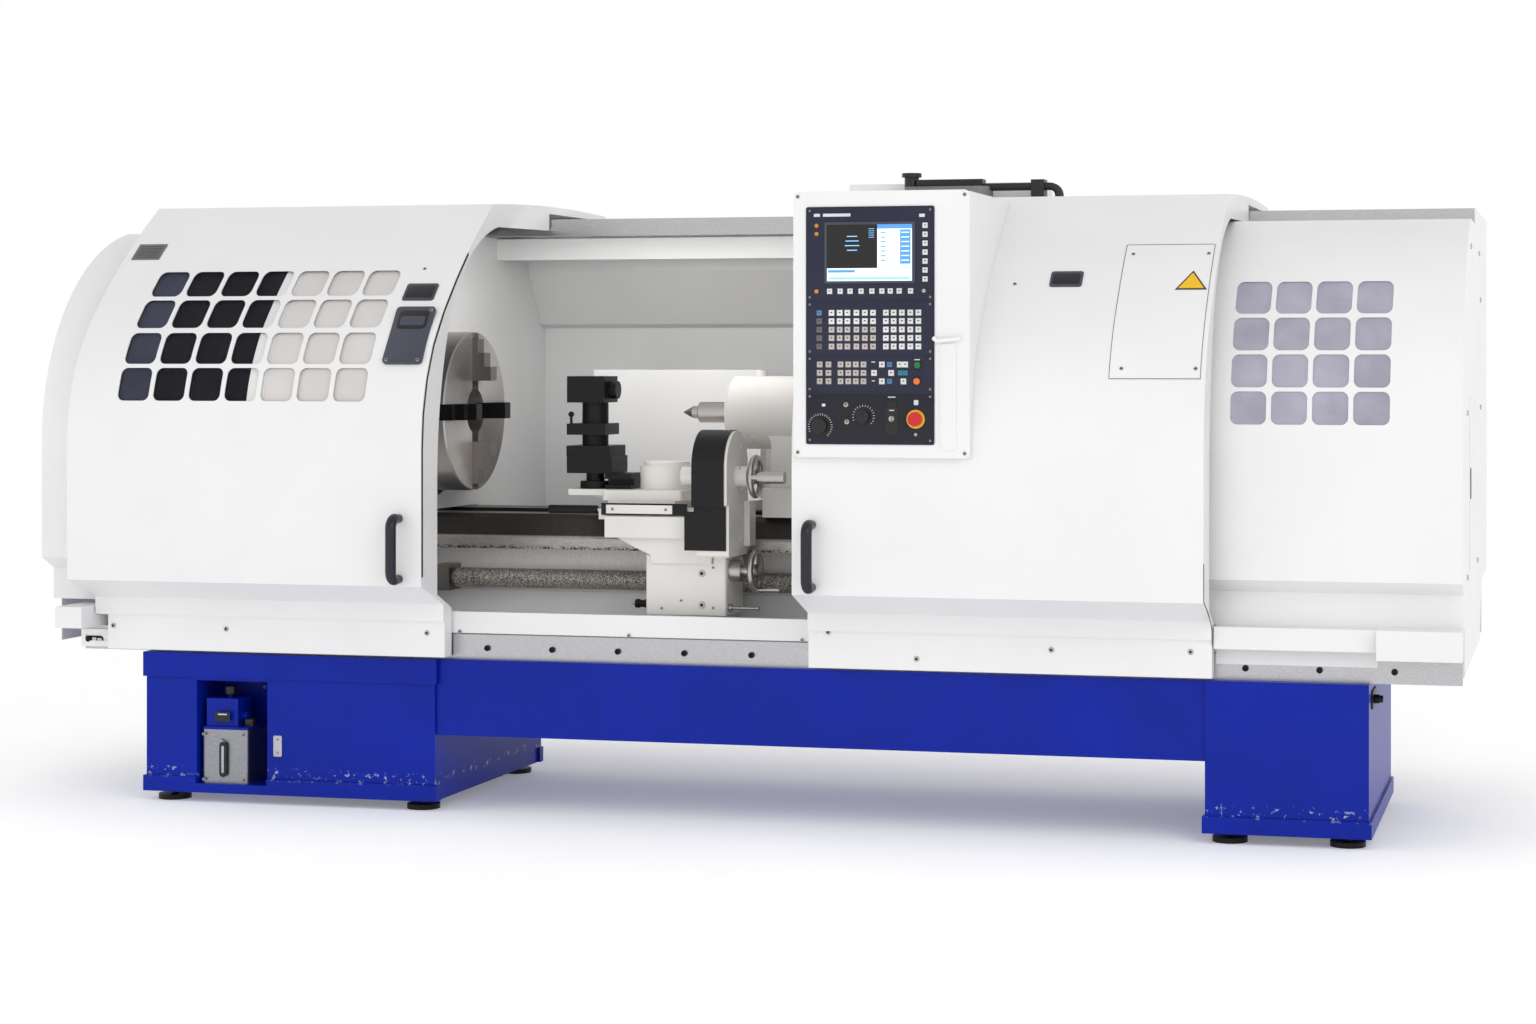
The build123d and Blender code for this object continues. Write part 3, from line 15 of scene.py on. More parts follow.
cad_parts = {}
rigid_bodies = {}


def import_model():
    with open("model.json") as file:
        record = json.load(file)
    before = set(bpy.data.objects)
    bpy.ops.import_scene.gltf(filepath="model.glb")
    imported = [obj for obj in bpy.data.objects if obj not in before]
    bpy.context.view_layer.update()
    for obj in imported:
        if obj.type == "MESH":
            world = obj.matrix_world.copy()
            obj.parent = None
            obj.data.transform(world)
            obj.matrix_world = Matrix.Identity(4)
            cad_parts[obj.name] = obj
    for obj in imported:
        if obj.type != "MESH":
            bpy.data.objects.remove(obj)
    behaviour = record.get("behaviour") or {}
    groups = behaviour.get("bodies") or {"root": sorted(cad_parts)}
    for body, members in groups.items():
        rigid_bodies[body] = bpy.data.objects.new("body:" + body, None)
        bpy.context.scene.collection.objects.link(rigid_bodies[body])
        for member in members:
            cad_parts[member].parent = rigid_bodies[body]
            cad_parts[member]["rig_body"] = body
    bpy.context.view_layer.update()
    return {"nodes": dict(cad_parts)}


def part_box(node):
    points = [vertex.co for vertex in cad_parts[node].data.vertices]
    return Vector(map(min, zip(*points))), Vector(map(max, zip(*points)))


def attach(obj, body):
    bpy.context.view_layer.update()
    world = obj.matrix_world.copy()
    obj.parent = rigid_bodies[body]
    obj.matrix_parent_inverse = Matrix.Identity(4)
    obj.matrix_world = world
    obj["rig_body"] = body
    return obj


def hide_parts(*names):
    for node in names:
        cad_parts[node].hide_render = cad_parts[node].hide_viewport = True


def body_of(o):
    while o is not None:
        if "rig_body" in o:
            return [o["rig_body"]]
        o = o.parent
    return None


bl_info = {
    "name": "CNC turning lathe",
    "version": (1, 0, 0),
    "blender": (4, 5, 0),
    "location": "3D View > Sidebar > Lathe",
    "description": "Finishes and fits out the packed model of a long-bed CNC turning lathe",
    "category": "Object",
}

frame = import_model()
NODES = frame["nodes"]
SKIN_TREES = {}
FINISHES = {}

LEVEL = Vector((1, 0, 0))
LEFTWARD = Vector((-1, 0, 0))
FORWARD = Vector((0, -1, 0))
BACKWARD = Vector((0, 1, 0))
UPWARD = Vector((0, 0, 1))

BAND_PROUD = 0.008  # the base's foot band, past the base's faces
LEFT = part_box("base_frame")[0].x + BAND_PROUD
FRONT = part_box("base_frame")[0].y + BAND_PROUD
PANEL_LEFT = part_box("panel_bezel")[0].x
BOX_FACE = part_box("pendant")[0].y
BEZEL_FACE = BOX_FACE - 0.003
FILM = 0.0012  # the panel's plates, on the bezel's face
PANEL_PLATES = ((1.528, 1.786), (1.3755, 1.522), (1.2695, 1.369), (1.126, 1.263))


# ------------------------------------------------------------------ places
def at(x, y, z):
    """A point given from the base's left end, its front face and the floor."""
    return Vector((LEFT + x, FRONT + y, z))


def middle_of(node):
    """The middle of a CAD node's box."""
    low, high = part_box(node)
    return (low + high) / 2


def on_skin(node, x, z):
    """Where a level line towards the back first meets a CAD node, and the outward normal there."""
    if node not in SKIN_TREES:
        mesh = NODES[node].data
        points = [v.co for v in mesh.vertices]
        SKIN_TREES[node] = BVHTree.FromPolygons(points, [p.vertices[:] for p in mesh.polygons])
    well_ahead = -1.5
    for nudge in (0.0, 0.0008, -0.0008, 0.003, -0.003):
        start = at(x + nudge, well_ahead, z + nudge)
        hit, normal, _, _ = SKIN_TREES[node].ray_cast(start, BACKWARD)
        if hit is not None:
            return hit, normal
    raise RuntimeError("nothing of %s lies behind x %.3f z %.3f" % (node, x, z))


def down_skin(node, x, heights):
    """The skin's points and normals at several heights."""
    return [on_skin(node, x, z) for z in heights]


# ------------------------------------------------------------------ meshes
def new_object(name, data):
    """An object in the scene that shows the data."""
    made = bpy.data.objects.new(name, data)
    bpy.context.scene.collection.objects.link(made)
    return made


def new_mesh(name, mesh):
    """A named mesh from a finished edit mesh."""
    data = bpy.data.meshes.new(name)
    mesh.to_mesh(data)
    mesh.free()
    return data


class Shape:
    """Collects closed solids in one mesh; each solid names the finish that it takes."""

    def __init__(self, name, *finishes):
        self.name = name
        self.finishes = finishes
        self.mesh = bmesh.new()

    def _corners(self, points):
        return [self.mesh.verts.new(p) for p in points]

    def _close(self, loops, finish):
        """Make the faces, give them their finish, and turn them outwards."""
        faces = [self.mesh.faces.new(corners) for corners in loops]
        for face in faces:
            face.material_index = finish
        bmesh.ops.recalc_face_normals(self.mesh, faces=faces)

    def _between(self, rings):
        """The four-sided faces between each ring of corners and the next."""
        return [(low[i - 1], low[i], high[i], high[i - 1])
                for low, high in zip(rings, rings[1:]) for i in range(len(low))]

    def prism(self, outline, run, finish=0):
        """A closed flat outline, run along a vector."""
        low = self._corners(outline)
        high = self._corners([p + run for p in outline])
        self._close([low, high[::-1], *self._between([low, high])], finish)

    def slab(self, centre, normal, size, thick, finish=0, corner=0.0, turn=0.0):
        """A flat plate with round corners, its back on centre, its width level unless turned."""
        normal = normal.normalized()
        side = LEVEL if abs(normal.x) < 0.7 else BACKWARD
        up = normal.cross(side).normalized()
        side = up.cross(normal)
        spin = Matrix.Rotation(turn, 3, normal)
        side, up = spin @ side, spin @ up
        half_w, half_h = size[0] / 2, size[1] / 2
        outline = []
        steps = 5 if corner else 1
        for quarter, (sx, sy) in enumerate(((1, 1), (-1, 1), (-1, -1), (1, -1))):
            for i in range(steps):
                angle = (quarter + i / max(steps - 1, 1)) * math.pi / 2
                across = sx * (half_w - corner) + corner * math.cos(angle)
                along = sy * (half_h - corner) + corner * math.sin(angle)
                outline.append(centre + side * across + up * along)
        self.prism(outline, normal * thick, finish)

    def block(self, low, high, finish=0):
        """A box between two corners given as base-end places."""
        a, b = at(*low), at(*high)
        outline = [Vector((x, y, a.z)) for x, y in ((a.x, a.y), (b.x, a.y), (b.x, b.y), (a.x, b.y))]
        self.prism(outline, UPWARD * (b.z - a.z), finish)

    def _circle(self, centre, axis, radius, sides):
        side = axis.orthogonal().normalized()
        other = axis.cross(side)
        angles = [2 * math.pi * i / sides for i in range(sides)]
        return self._corners([centre + (side * math.cos(a) + other * math.sin(a)) * radius
                              for a in angles])

    def turned(self, start, direction, profile, finish=0, sides=32):
        """A turned shape: (distance along the axis, radius) pairs from one end to the other."""
        axis = direction.normalized()
        rings = [self._circle(start + axis * along, axis, radius, sides) for along, radius in profile]
        self._close([rings[0][::-1], rings[-1], *self._between(rings)], finish)

    def ring(self, centre, axis, inner, outer, thick, finish=0, sides=40):
        """A flat washer with its back on centre."""
        rings = [self._circle(centre + axis * lift, axis, radius, sides)
                 for radius, lift in ((inner, 0), (outer, 0), (outer, thick), (inner, thick))]
        self._close(self._between(rings + rings[:1]), finish)

    def strip(self, line, width, thick, finish=0):
        """A bent sheet: (point, normal) pairs along its length, run across by a width vector."""
        outline = [p for p, _ in line] + [p + n * thick for p, n in reversed(line)]
        near = self._corners(outline)
        far = self._corners([p + width for p in outline])
        loops = self._between([near, far])
        for i in range(len(line) - 1):
            k = len(outline) - 1 - i
            loops += [(near[i], near[k], near[k - 1], near[i + 1]),
                      (far[i], far[i + 1], far[k - 1], far[k])]
        self._close(loops, finish)

    def done(self, body, bevel=0.0):
        """Make the object, soften its edges, and put it on its body."""
        data = new_mesh(self.name, self.mesh)
        for name in self.finishes:
            data.materials.append(FINISHES[name])
        piece = new_object(self.name, data)
        if bevel:
            soften(piece, bevel)
        smooth(piece.data)
        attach(piece, body)
        return piece


def smooth(data):
    """Shade smooth, with the sharp edges kept."""
    data.polygons.foreach_set("use_smooth", [True] * len(data.polygons))
    data.set_sharp_from_angle(angle=math.radians(35))
    data.update()


def settle(piece):
    """Turn what the modifiers make into the piece's own plain mesh."""
    graph = bpy.context.evaluated_depsgraph_get()
    result = bpy.data.meshes.new_from_object(piece.evaluated_get(graph), depsgraph=graph)
    piece.modifiers.clear()
    old = piece.data
    piece.data = result
    bpy.data.meshes.remove(old)


def soften(piece, width):
    """Round the sharp edges of a piece a little."""
    modifier = piece.modifiers.new("Soft edges", "BEVEL")
    modifier.width = width
    modifier.segments = 2
    modifier.limit_method = "ANGLE"
    modifier.angle_limit = math.radians(32)
    modifier.harden_normals = False
    settle(piece)


# ------------------------------------------------------------------ repeated things
def wire(tree, kind, sockets=None, **settings):
    """Add a node with its settings; a socket's value is either a constant or another node's output."""
    node = tree.nodes.new(kind)
    for name, value in settings.items():
        setattr(node, name, value)
    for name, value in (sockets or {}).items():
        if isinstance(value, bpy.types.NodeSocket):
            tree.links.new(value, node.inputs[name])
        else:
            node.inputs[name].default_value = value
    return node


def calc(tree, operation, a, b=0.0):
    """One sum on values or sockets."""
    return wire(tree, "ShaderNodeMath", {0: a, 1: b}, operation=operation).outputs["Value"]


def coloured(tree, geometry, finish):
    """Set a finish on part of an item."""
    return wire(tree, "GeometryNodeSetMaterial", {
        "Geometry": geometry, "Material": FINISHES[finish]}).outputs["Geometry"]


def moved(tree, geometry, **change):
    """Part of an item with its Translation, Rotation or Scale changed."""
    return wire(tree, "GeometryNodeTransform", {"Geometry": geometry, **change}).outputs["Geometry"]


def together(tree, *parts):
    """The parts of an item as one."""
    both = wire(tree, "GeometryNodeJoinGeometry")
    for part in parts:
        tree.links.new(part, both.inputs["Geometry"])
    return both.outputs["Geometry"]


def repeat_tree(name, sizes, make_item):
    """A tree that puts one item at each point, turned to the point's facing, and makes it real."""
    tree = bpy.data.node_groups.new(name, "GeometryNodeTree")
    for way in ("OUTPUT", "INPUT"):
        tree.interface.new_socket("Geometry", in_out=way, socket_type="NodeSocketGeometry")
    for label, value in sizes.items():
        socket = tree.interface.new_socket(label, in_out="INPUT", socket_type="NodeSocketFloat")
        socket.default_value = value
    source = tree.nodes.new("NodeGroupInput")
    facing, level = (wire(tree, "GeometryNodeInputNamedAttribute", {"Name": label},
                          data_type="FLOAT_VECTOR").outputs["Attribute"]
                     for label in ("facing", "level"))
    first = wire(tree, "FunctionNodeAlignRotationToVector", {"Vector": facing}, axis="Z")
    turn = wire(tree, "FunctionNodeAlignRotationToVector",
                {"Rotation": first.outputs["Rotation"], "Vector": level}, axis="X", pivot_axis="Z")
    item = make_item(tree, source)
    copies = wire(tree, "GeometryNodeInstanceOnPoints", {
        "Points": source.outputs["Geometry"], "Instance": item, "Rotation": turn.outputs["Rotation"]})
    real = wire(tree, "GeometryNodeRealizeInstances", {"Geometry": copies.outputs["Instances"]})
    sink = tree.nodes.new("NodeGroupOutput")
    tree.links.new(real.outputs["Geometry"], sink.inputs["Geometry"])
    return tree


def screw_item(tree, source):
    """A socket-head screw: a head that narrows to its top, and a dark socket."""
    top_share, socket_share, socket_rise = 0.86, 0.5, 0.0004
    radius, depth = source.outputs["Head radius"], source.outputs["Head depth"]
    head = wire(tree, "GeometryNodeMeshCone", {
        "Vertices": 20, "Radius Bottom": radius,
        "Radius Top": calc(tree, "MULTIPLY", radius, top_share), "Depth": depth})
    hexagon = calc(tree, "MULTIPLY", radius, socket_share)
    pit = wire(tree, "GeometryNodeMeshCone", {
        "Vertices": 6, "Radius Bottom": hexagon, "Radius Top": hexagon, "Depth": socket_rise})
    lift = wire(tree, "ShaderNodeCombineXYZ", {"Z": depth}).outputs["Vector"]
    return together(tree, coloured(tree, head.outputs["Mesh"], "bright steel"),
                    coloured(tree, moved(tree, pit.outputs["Mesh"], Translation=lift), "black oxide"))


def cap_item(top, mark=None):
    """A square cap with sloping sides, and a small dark mark on it."""
    def make(tree, source):
        width, height, depth = (source.outputs[n] for n in ("Width", "Height", "Depth"))
        corner, top_share = math.sqrt(0.5), 0.84
        cone = wire(tree, "GeometryNodeMeshCone", {
            "Vertices": 4, "Radius Bottom": corner, "Radius Top": corner * top_share, "Depth": 1.0})
        scale = wire(tree, "ShaderNodeCombineXYZ",
                     {"X": width, "Y": height, "Z": depth}).outputs["Vector"]
        square = moved(tree, cone.outputs["Mesh"], Rotation=(0, 0, math.pi / 4))
        body = coloured(tree, moved(tree, square, Scale=scale), top)
        if mark is None:
            return body
        dash = wire(tree, "GeometryNodeMeshCube", {"Size": (0.34, 0.2, 0.1)})
        place = moved(tree, dash.outputs["Mesh"], Translation=(0.02, 0.06, 1.02))
        return together(tree, body, coloured(tree, moved(tree, place, Scale=scale), mark))
    return make


def repeated(name, tree, sizes, places, body):
    """One piece with the tree's item at each (point, facing, level direction)."""
    data = bpy.data.meshes.new(name)
    data.from_pydata([p for p, _, _ in places], [], [])
    for label, index in (("facing", 1), ("level", 2)):
        layer = data.attributes.new(label, "FLOAT_VECTOR", "POINT")
        layer.data.foreach_set("vector", [c for place in places for c in place[index]])
    piece = new_object(name, data)
    modifier = piece.modifiers.new("Repeat", "NODES")
    modifier.node_group = tree
    for item in tree.interface.items_tree:
        if item.in_out == "INPUT" and item.name in sizes:
            modifier[item.identifier] = sizes[item.name]
    settle(piece)
    for label in ("facing", "level"):
        layer = piece.data.attributes.get(label)
        if layer:
            piece.data.attributes.remove(layer)
    smooth(piece.data)
    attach(piece, body)
    return piece


def screws(name, radius, depth, places, body):
    """Socket-head screws at the places given."""
    tree = bpy.data.node_groups.get("Cover screws") or repeat_tree(
        "Cover screws", {"Head radius": 0.0085, "Head depth": 0.003}, screw_item)
    repeated(name, tree, {"Head radius": radius, "Head depth": depth}, places, body)


def skin_places(node, *spots):
    """Screws' places on a cover's skin, each from its x and z."""
    return [(*on_skin(node, x, z), LEVEL) for x, z in spots]


def front_place(x, y, z):
    """A place that faces forwards."""
    return at(x, y, z), FORWARD, LEVEL


def side_place(x, y, z, facing=LEVEL):
    """A place that faces the right end, or the left."""
    return at(x, y, z), facing, BACKWARD


def box_corners(low, high, left, right, bottom, top):
    """The four corners of a front face, each set in from its edges."""
    return [(Vector((x, low.y, z)), FORWARD, LEVEL)
            for x in (low.x + left, high.x - right) for z in (low.z + bottom, high.z - top)]


# ------------------------------------------------------------------ finishes
def tone(*rgb):
    """A screen colour, 0 to 255, as scene light values."""
    return tuple(c / 255 / 12.92 if c <= 10 else ((c / 255 + 0.055) / 1.055) ** 2.4 for c in rgb)


def new_finish(name, **constants):
    """A material with its shader; the constants go straight on the shader's sockets."""
    material = bpy.data.materials.new(name)
    material.use_nodes = True
    tree = material.node_tree
    shader = next(n for n in tree.nodes if n.type == "BSDF_PRINCIPLED")
    for label, value in constants.items():
        shader.inputs[label.replace("_", " ")].default_value = value
    FINISHES[name] = material
    return tree, shader


def place_pattern(tree, centre=(0, 0, 0), stretch=(1, 1, 1)):
    """The piece's own coordinates, moved so that centre is their middle, and stretched."""
    source = tree.nodes.new("ShaderNodeTexCoord")
    shift = wire(tree, "ShaderNodeVectorMath",
                 {0: source.outputs["Object"], 1: centre}, operation="SUBTRACT")
    scale = wire(tree, "ShaderNodeVectorMath",
                 {0: shift.outputs["Vector"], 1: stretch}, operation="MULTIPLY")
    return scale.outputs["Vector"]


def speckle(tree, vector, scale, detail=3.0, rough=0.55):
    """Noise at so many spots a metre."""
    node = wire(tree, "ShaderNodeTexNoise",
                {"Vector": vector, "Scale": scale, "Detail": detail, "Roughness": rough})
    return node.outputs["Fac"]


def spread(tree, value, low, high, out_low=0.0, out_high=1.0):
    """A value's range, moved to another range."""
    node = wire(tree, "ShaderNodeMapRange", {
        "Value": value, "From Min": low, "From Max": high, "To Min": out_low, "To Max": out_high})
    return node.outputs["Result"]


def blend_colour(tree, factor, first, second):
    """Two colours mixed; each is a colour or a socket."""
    node = tree.nodes.new("ShaderNodeMix")
    node.data_type = "RGBA"
    tree.links.new(factor, node.inputs[0])
    for socket, value in ((node.inputs[6], first), (node.inputs[7], second)):
        if isinstance(value, bpy.types.NodeSocket):
            tree.links.new(value, socket)
        else:
            socket.default_value = (*value, 1.0)
    return node.outputs[2]


def parts_of(tree, vector):
    """A vector's three sockets."""
    node = wire(tree, "ShaderNodeSeparateXYZ", {"Vector": vector})
    return node.outputs["X"], node.outputs["Y"], node.outputs["Z"]


def press(tree, shader, height, strength, distance):
    """Relief from a height."""
    node = wire(tree, "ShaderNodeBump", {"Height": height, "Strength": strength, "Distance": distance})
    tree.links.new(node.outputs["Normal"], shader.inputs["Normal"])


def painted(name, colour, shade, rough, relief=0.25, grain=650.0, **constants):
    """Sprayed paint: a fine orange-peel skin, slow changes of shade and gloss."""
    tree, shader = new_finish(name, **constants)
    vector = place_pattern(tree)
    slow = speckle(tree, vector, 3.0)
    tree.links.new(blend_colour(tree, spread(tree, slow, 0.35, 0.65), colour, shade),
                   shader.inputs["Base Color"])
    skin = speckle(tree, vector, grain, 2.0)
    tree.links.new(spread(tree, skin, 0.3, 0.7, rough - 0.05, rough + 0.06), shader.inputs["Roughness"])
    press(tree, shader, skin, relief, 0.0004)
    return tree, shader, vector


def metal(name, light, dark, rough, stretch, grain=300.0, relief=0.2, metallic=1.0, **constants):
    """Cut or ground metal: fine lines along the way that it was worked."""
    tree, shader = new_finish(name, Metallic=metallic, **constants)
    vector = place_pattern(tree, stretch=stretch)
    lines = speckle(tree, vector, grain, 4.0, 0.7)
    tree.links.new(blend_colour(tree, spread(tree, lines, 0.3, 0.7), dark, light),
                   shader.inputs["Base Color"])
    tree.links.new(spread(tree, lines, 0.3, 0.7, rough + 0.1, rough - 0.06), shader.inputs["Roughness"])
    press(tree, shader, lines, relief, 0.0003)
    return tree, shader


def mix_enamel(colours):
    """The base's blue enamel, with a few chips along its foot."""
    tree, shader, vector = painted(
        "base enamel", colours.base[:], tuple(c * 0.82 for c in colours.base), 0.36, 0.3, 420.0,
        Specular_IOR_Level=0.16, Coat_Weight=0.04, Coat_Roughness=0.15)
    _, _, height = parts_of(tree, vector)
    chips = speckle(tree, vector, 55.0, 5.0, 0.7)
    chips_bottom, chips_top, fade = 0.07, 0.115, 0.02
    band = calc(tree, "MULTIPLY", spread(tree, height, chips_top, chips_top - fade),
                spread(tree, height, chips_bottom, chips_bottom + fade))
    worn = calc(tree, "MULTIPLY", band, calc(tree, "GREATER_THAN", chips, 0.6))
    blue = shader.inputs["Base Color"].links[0].from_socket
    tree.links.new(blend_colour(tree, worn, blue, tone(176, 184, 205)), shader.inputs["Base Color"])


def mix_chuck():
    """Turned steel: rings about the spindle, and a painted sheen of broad streaks round the face."""
    tree, shader = new_finish("turned steel with painted sheen", Metallic=0.85)
    vector = place_pattern(tree, centre=middle_of("chuck"))
    _, across, up = parts_of(tree, vector)
    radius = calc(tree, "SQRT", calc(tree, "ADD", calc(tree, "MULTIPLY", across, across),
                                     calc(tree, "MULTIPLY", up, up)))
    rings = wire(tree, "ShaderNodeTexNoise", {"W": radius, "Scale": 900.0, "Detail": 3.0},
                 noise_dimensions="1D").outputs["Fac"]
    angle = calc(tree, "ARCTAN2", up, across)
    # painted sheen: light and dark streaks round the face stand in for its reflections
    painted_sheen_fan = calc(tree, "SINE", calc(tree, "MULTIPLY", angle, 2.0))
    rings_and_painted_sheen = calc(tree, "ADD", spread(tree, painted_sheen_fan, -1.0, 1.0, 0.15, 0.85),
                  spread(tree, rings, 0.3, 0.7, -0.2, 0.2))
    tree.links.new(blend_colour(tree, rings_and_painted_sheen, tone(104, 100, 98), tone(224, 219, 215)),
                   shader.inputs["Base Color"])
    tree.links.new(spread(tree, rings, 0.3, 0.7, 0.24, 0.42), shader.inputs["Roughness"])
    press(tree, shader, rings, 0.25, 0.0003)


def mix_bed():
    """The bed's finishes by height: ground ways, a scraped edge and a painted lower wall."""
    tree, shader = new_finish("bed iron")
    vector = place_pattern(tree)
    _, _, height = parts_of(tree, vector)
    lines = speckle(tree, place_pattern(tree, stretch=(1, 24, 24)), 60.0, 4.0, 0.7)
    pits = speckle(tree, vector, 160.0, 4.0, 0.7)
    wall_top = 0.7725
    scraped_bottom, scraped_top = 0.778, 0.786
    ways_bottom, ways_top = 0.812, 0.816
    upper = calc(tree, "GREATER_THAN", height, wall_top)
    streaks = spread(tree, lines, 0.3, 0.7)
    ground = blend_colour(tree, streaks, tone(38, 35, 34), tone(82, 78, 75))
    honed = blend_colour(tree, streaks, tone(128, 123, 120), tone(206, 201, 197))
    scraped = calc(tree, "MULTIPLY", spread(tree, height, scraped_top, scraped_bottom),
                   calc(tree, "GREATER_THAN", pits, 0.5))
    light_band = blend_colour(tree, scraped, honed, tone(44, 41, 39))
    band = blend_colour(tree, spread(tree, height, ways_top, ways_bottom), ground, light_band)
    wall = blend_colour(tree, spread(tree, pits, 0.3, 0.72),
                        tone(246, 244, 240), tone(224, 220, 215))
    tree.links.new(blend_colour(tree, upper, wall, band), shader.inputs["Base Color"])
    tree.links.new(calc(tree, "MULTIPLY", upper, 0.7), shader.inputs["Metallic"])
    tree.links.new(spread(tree, lines, 0.3, 0.7, 0.42, 0.26), shader.inputs["Roughness"])
    press(tree, shader, lines, 0.2, 0.0004)


def mix_screw():
    """The lead screw: rolled thread, with painted highlights speckled over its dark steel."""
    pitch = 0.02
    centre = middle_of("ball_screw")
    centre.x = 0
    tree, shader = new_finish("screw steel", Metallic=0.35)
    vector = place_pattern(tree, centre=centre)
    along, across, up = parts_of(tree, vector)
    angle = calc(tree, "ARCTAN2", up, across)
    phase = calc(tree, "ADD", calc(tree, "MULTIPLY", along, 2 * math.pi / pitch), angle)
    thread = calc(tree, "SINE", phase)
    glint_and_bump_noise = speckle(tree, vector, 420.0, 5.0, 0.75)
    # painted highlights: bright speckles where the thread would catch the light
    painted_glints = spread(tree, glint_and_bump_noise, 0.48, 0.58)
    tree.links.new(blend_colour(tree, painted_glints, tone(52, 48, 45), tone(228, 223, 212)),
                   shader.inputs["Base Color"])
    tree.links.new(spread(tree, glint_and_bump_noise, 0.3, 0.7, 0.34, 0.6), shader.inputs["Roughness"])
    press(tree, shader, calc(tree, "ADD", calc(tree, "MULTIPLY", thread, 0.6), glint_and_bump_noise), 0.6, 0.002)


def mix_glass(name, colour, alpha, rough=0.08, specular=0.5):
    """Thin tinted glazing, slightly dusty."""
    tree, shader = new_finish(name, Alpha=alpha, IOR=1.45, Specular_IOR_Level=specular)
    haze = speckle(tree, place_pattern(tree), 9.0, 4.0)
    dusty = tuple(min(1.0, c * 1.25 + 0.02) for c in colour)
    tree.links.new(blend_colour(tree, spread(tree, haze, 0.35, 0.7), colour, dusty),
                   shader.inputs["Base Color"])
    tree.links.new(spread(tree, haze, 0.3, 0.7, rough, rough + 0.08), shader.inputs["Roughness"])


def mix_glow(name, colour, strength, line=0.0):
    """A lit part of the display, with fine rows."""
    tree, shader = new_finish(name, Roughness=0.25, Emission_Strength=strength)
    vector = place_pattern(tree)
    rows = wire(tree, "ShaderNodeTexWave", {"Vector": vector, "Scale": 180.0, "Distortion": 0.4},
                wave_type="BANDS", bands_direction="Z")
    fade = blend_colour(tree, spread(tree, rows.outputs["Fac"], 0.0, 1.0, 0.0, line), colour,
                        tuple(c * 0.7 for c in colour))
    tree.links.new(fade, shader.inputs["Base Color"])
    tree.links.new(fade, shader.inputs["Emission Color"])


# ------------------------------------------------------------------ settings
def colour_setting(label, about, rgb):
    """A colour a user would change."""
    return bpy.props.FloatVectorProperty(name=label, description=about, subtype="COLOR", size=3,
                                         min=0.0, max=1.0, default=tone(*rgb))


def length_setting(label, about, value):
    """A length a user would change."""
    return bpy.props.FloatProperty(name=label, description=about, default=value, min=0.0,
                                   unit="LENGTH", precision=4)


class LatheColours(bpy.types.PropertyGroup):
    """The lathe's main colours."""

    cover: colour_setting("Covers", "Sprayed paint on the doors and covers", (234, 234, 234))
    machine: colour_setting("Machine", "Paint on the carriage, tailstock and headstock",
                            (226, 223, 219))
    base: colour_setting("Base", "Enamel on the base", (0, 33, 156))
    panel: colour_setting("Panel", "The control panel's face", (42, 43, 62))
    handle: colour_setting("Handles", "The door handles' plastic", (26, 26, 38))


class LatheSizes(bpy.types.PropertyGroup):
    """Sizes of the fittings that the model doesn't carry."""

    cover_screw: length_setting("Cover screw", "Radius of a screw head on a cover", 0.0085)
    panel_screw: length_setting("Panel screw", "Radius of a screw head on the control panel", 0.0035)
    key: length_setting("Key", "Width of a key on the control panel", 0.0165)
    key_rise: length_setting("Key rise", "How far a key stands up", 0.0016)
    sheet: length_setting("Sheet", "Thickness of the guard sheets", 0.0018)


def settings():
    """The scene's colours and sizes."""
    return bpy.context.scene.lathe_colours, bpy.context.scene.lathe_sizes


# Paint and film: two shades as screen colours, roughness, relief, grain in spots a metre, and the
# specular level.
PAINTS = {
    "grey paint": ((120, 122, 126), (104, 106, 110), 0.45, 0.3, 650.0, 0.5),
    "black sheet": ((9, 9, 11), (14, 14, 17), 0.3, 0.2, 500.0, 0.3),
    "black plastic": ((16, 16, 18), (25, 25, 28), 0.42, 0.3, 1200.0, 0.5),
    "belt rubber": ((20, 20, 20), (32, 31, 30), 0.8, 0.6, 900.0, 0.5),
    "hose rubber": ((15, 15, 16), (28, 28, 29), 0.5, 0.4, 500.0, 0.5),
    "plate grey": ((112, 114, 114), (92, 94, 95), 0.4, 0.2, 300.0, 0.5),
    "latch plastic": ((66, 68, 82), (52, 54, 68), 0.36, 0.2, 900.0, 0.5),
    "panel film low": ((36, 36, 45), (30, 30, 38), 0.42, 0.25, 1400.0, 0.25),
    # painted shadow: near-black film for the sheet behind the left door's window, where only shade lies
    "liner black": ((6, 6, 8), (12, 12, 15), 0.6, 0.0, 30.0, 0.1),
    # painted reflection: slate film for the sheet that stands in for the glass's reflection
    "liner slate": ((48, 49, 64), (66, 67, 84), 0.6, 0.0, 30.0, 0.1),
    "liner white": ((240, 239, 238), (226, 225, 224), 0.5, 0.0, 30.0, 0.5),
    "liner pale": ((226, 222, 219), (214, 210, 207), 0.5, 0.0, 30.0, 0.5),
}

# Moulded plastic and ink on the control panel: two shades and the roughness.
KEY_PLASTICS = {
    "white keys": ((226, 226, 224), (206, 206, 203), 0.4),
    "grey keys": ((190, 182, 176), (166, 158, 152), 0.42),
    "dark keys": ((104, 100, 104), (84, 82, 88), 0.42),
    "blue keys": ((84, 132, 176), (60, 104, 156), 0.4),
    "teal keys": ((40, 140, 164), (28, 112, 140), 0.4),
    "key ink": ((58, 54, 62), (44, 42, 48), 0.5),
    "white ink": ((218, 220, 224), (196, 198, 204), 0.5),
    "green plastic": ((10, 122, 62), (6, 98, 48), 0.32),
    "orange plastic": ((238, 128, 44), (222, 108, 30), 0.32),
    "red plastic": ((206, 26, 30), (180, 18, 24), 0.3),
    "yellow plastic": ((242, 190, 20), (226, 170, 14), 0.4),
    "amber lamp": ((214, 140, 50), (180, 104, 34), 0.3),
}

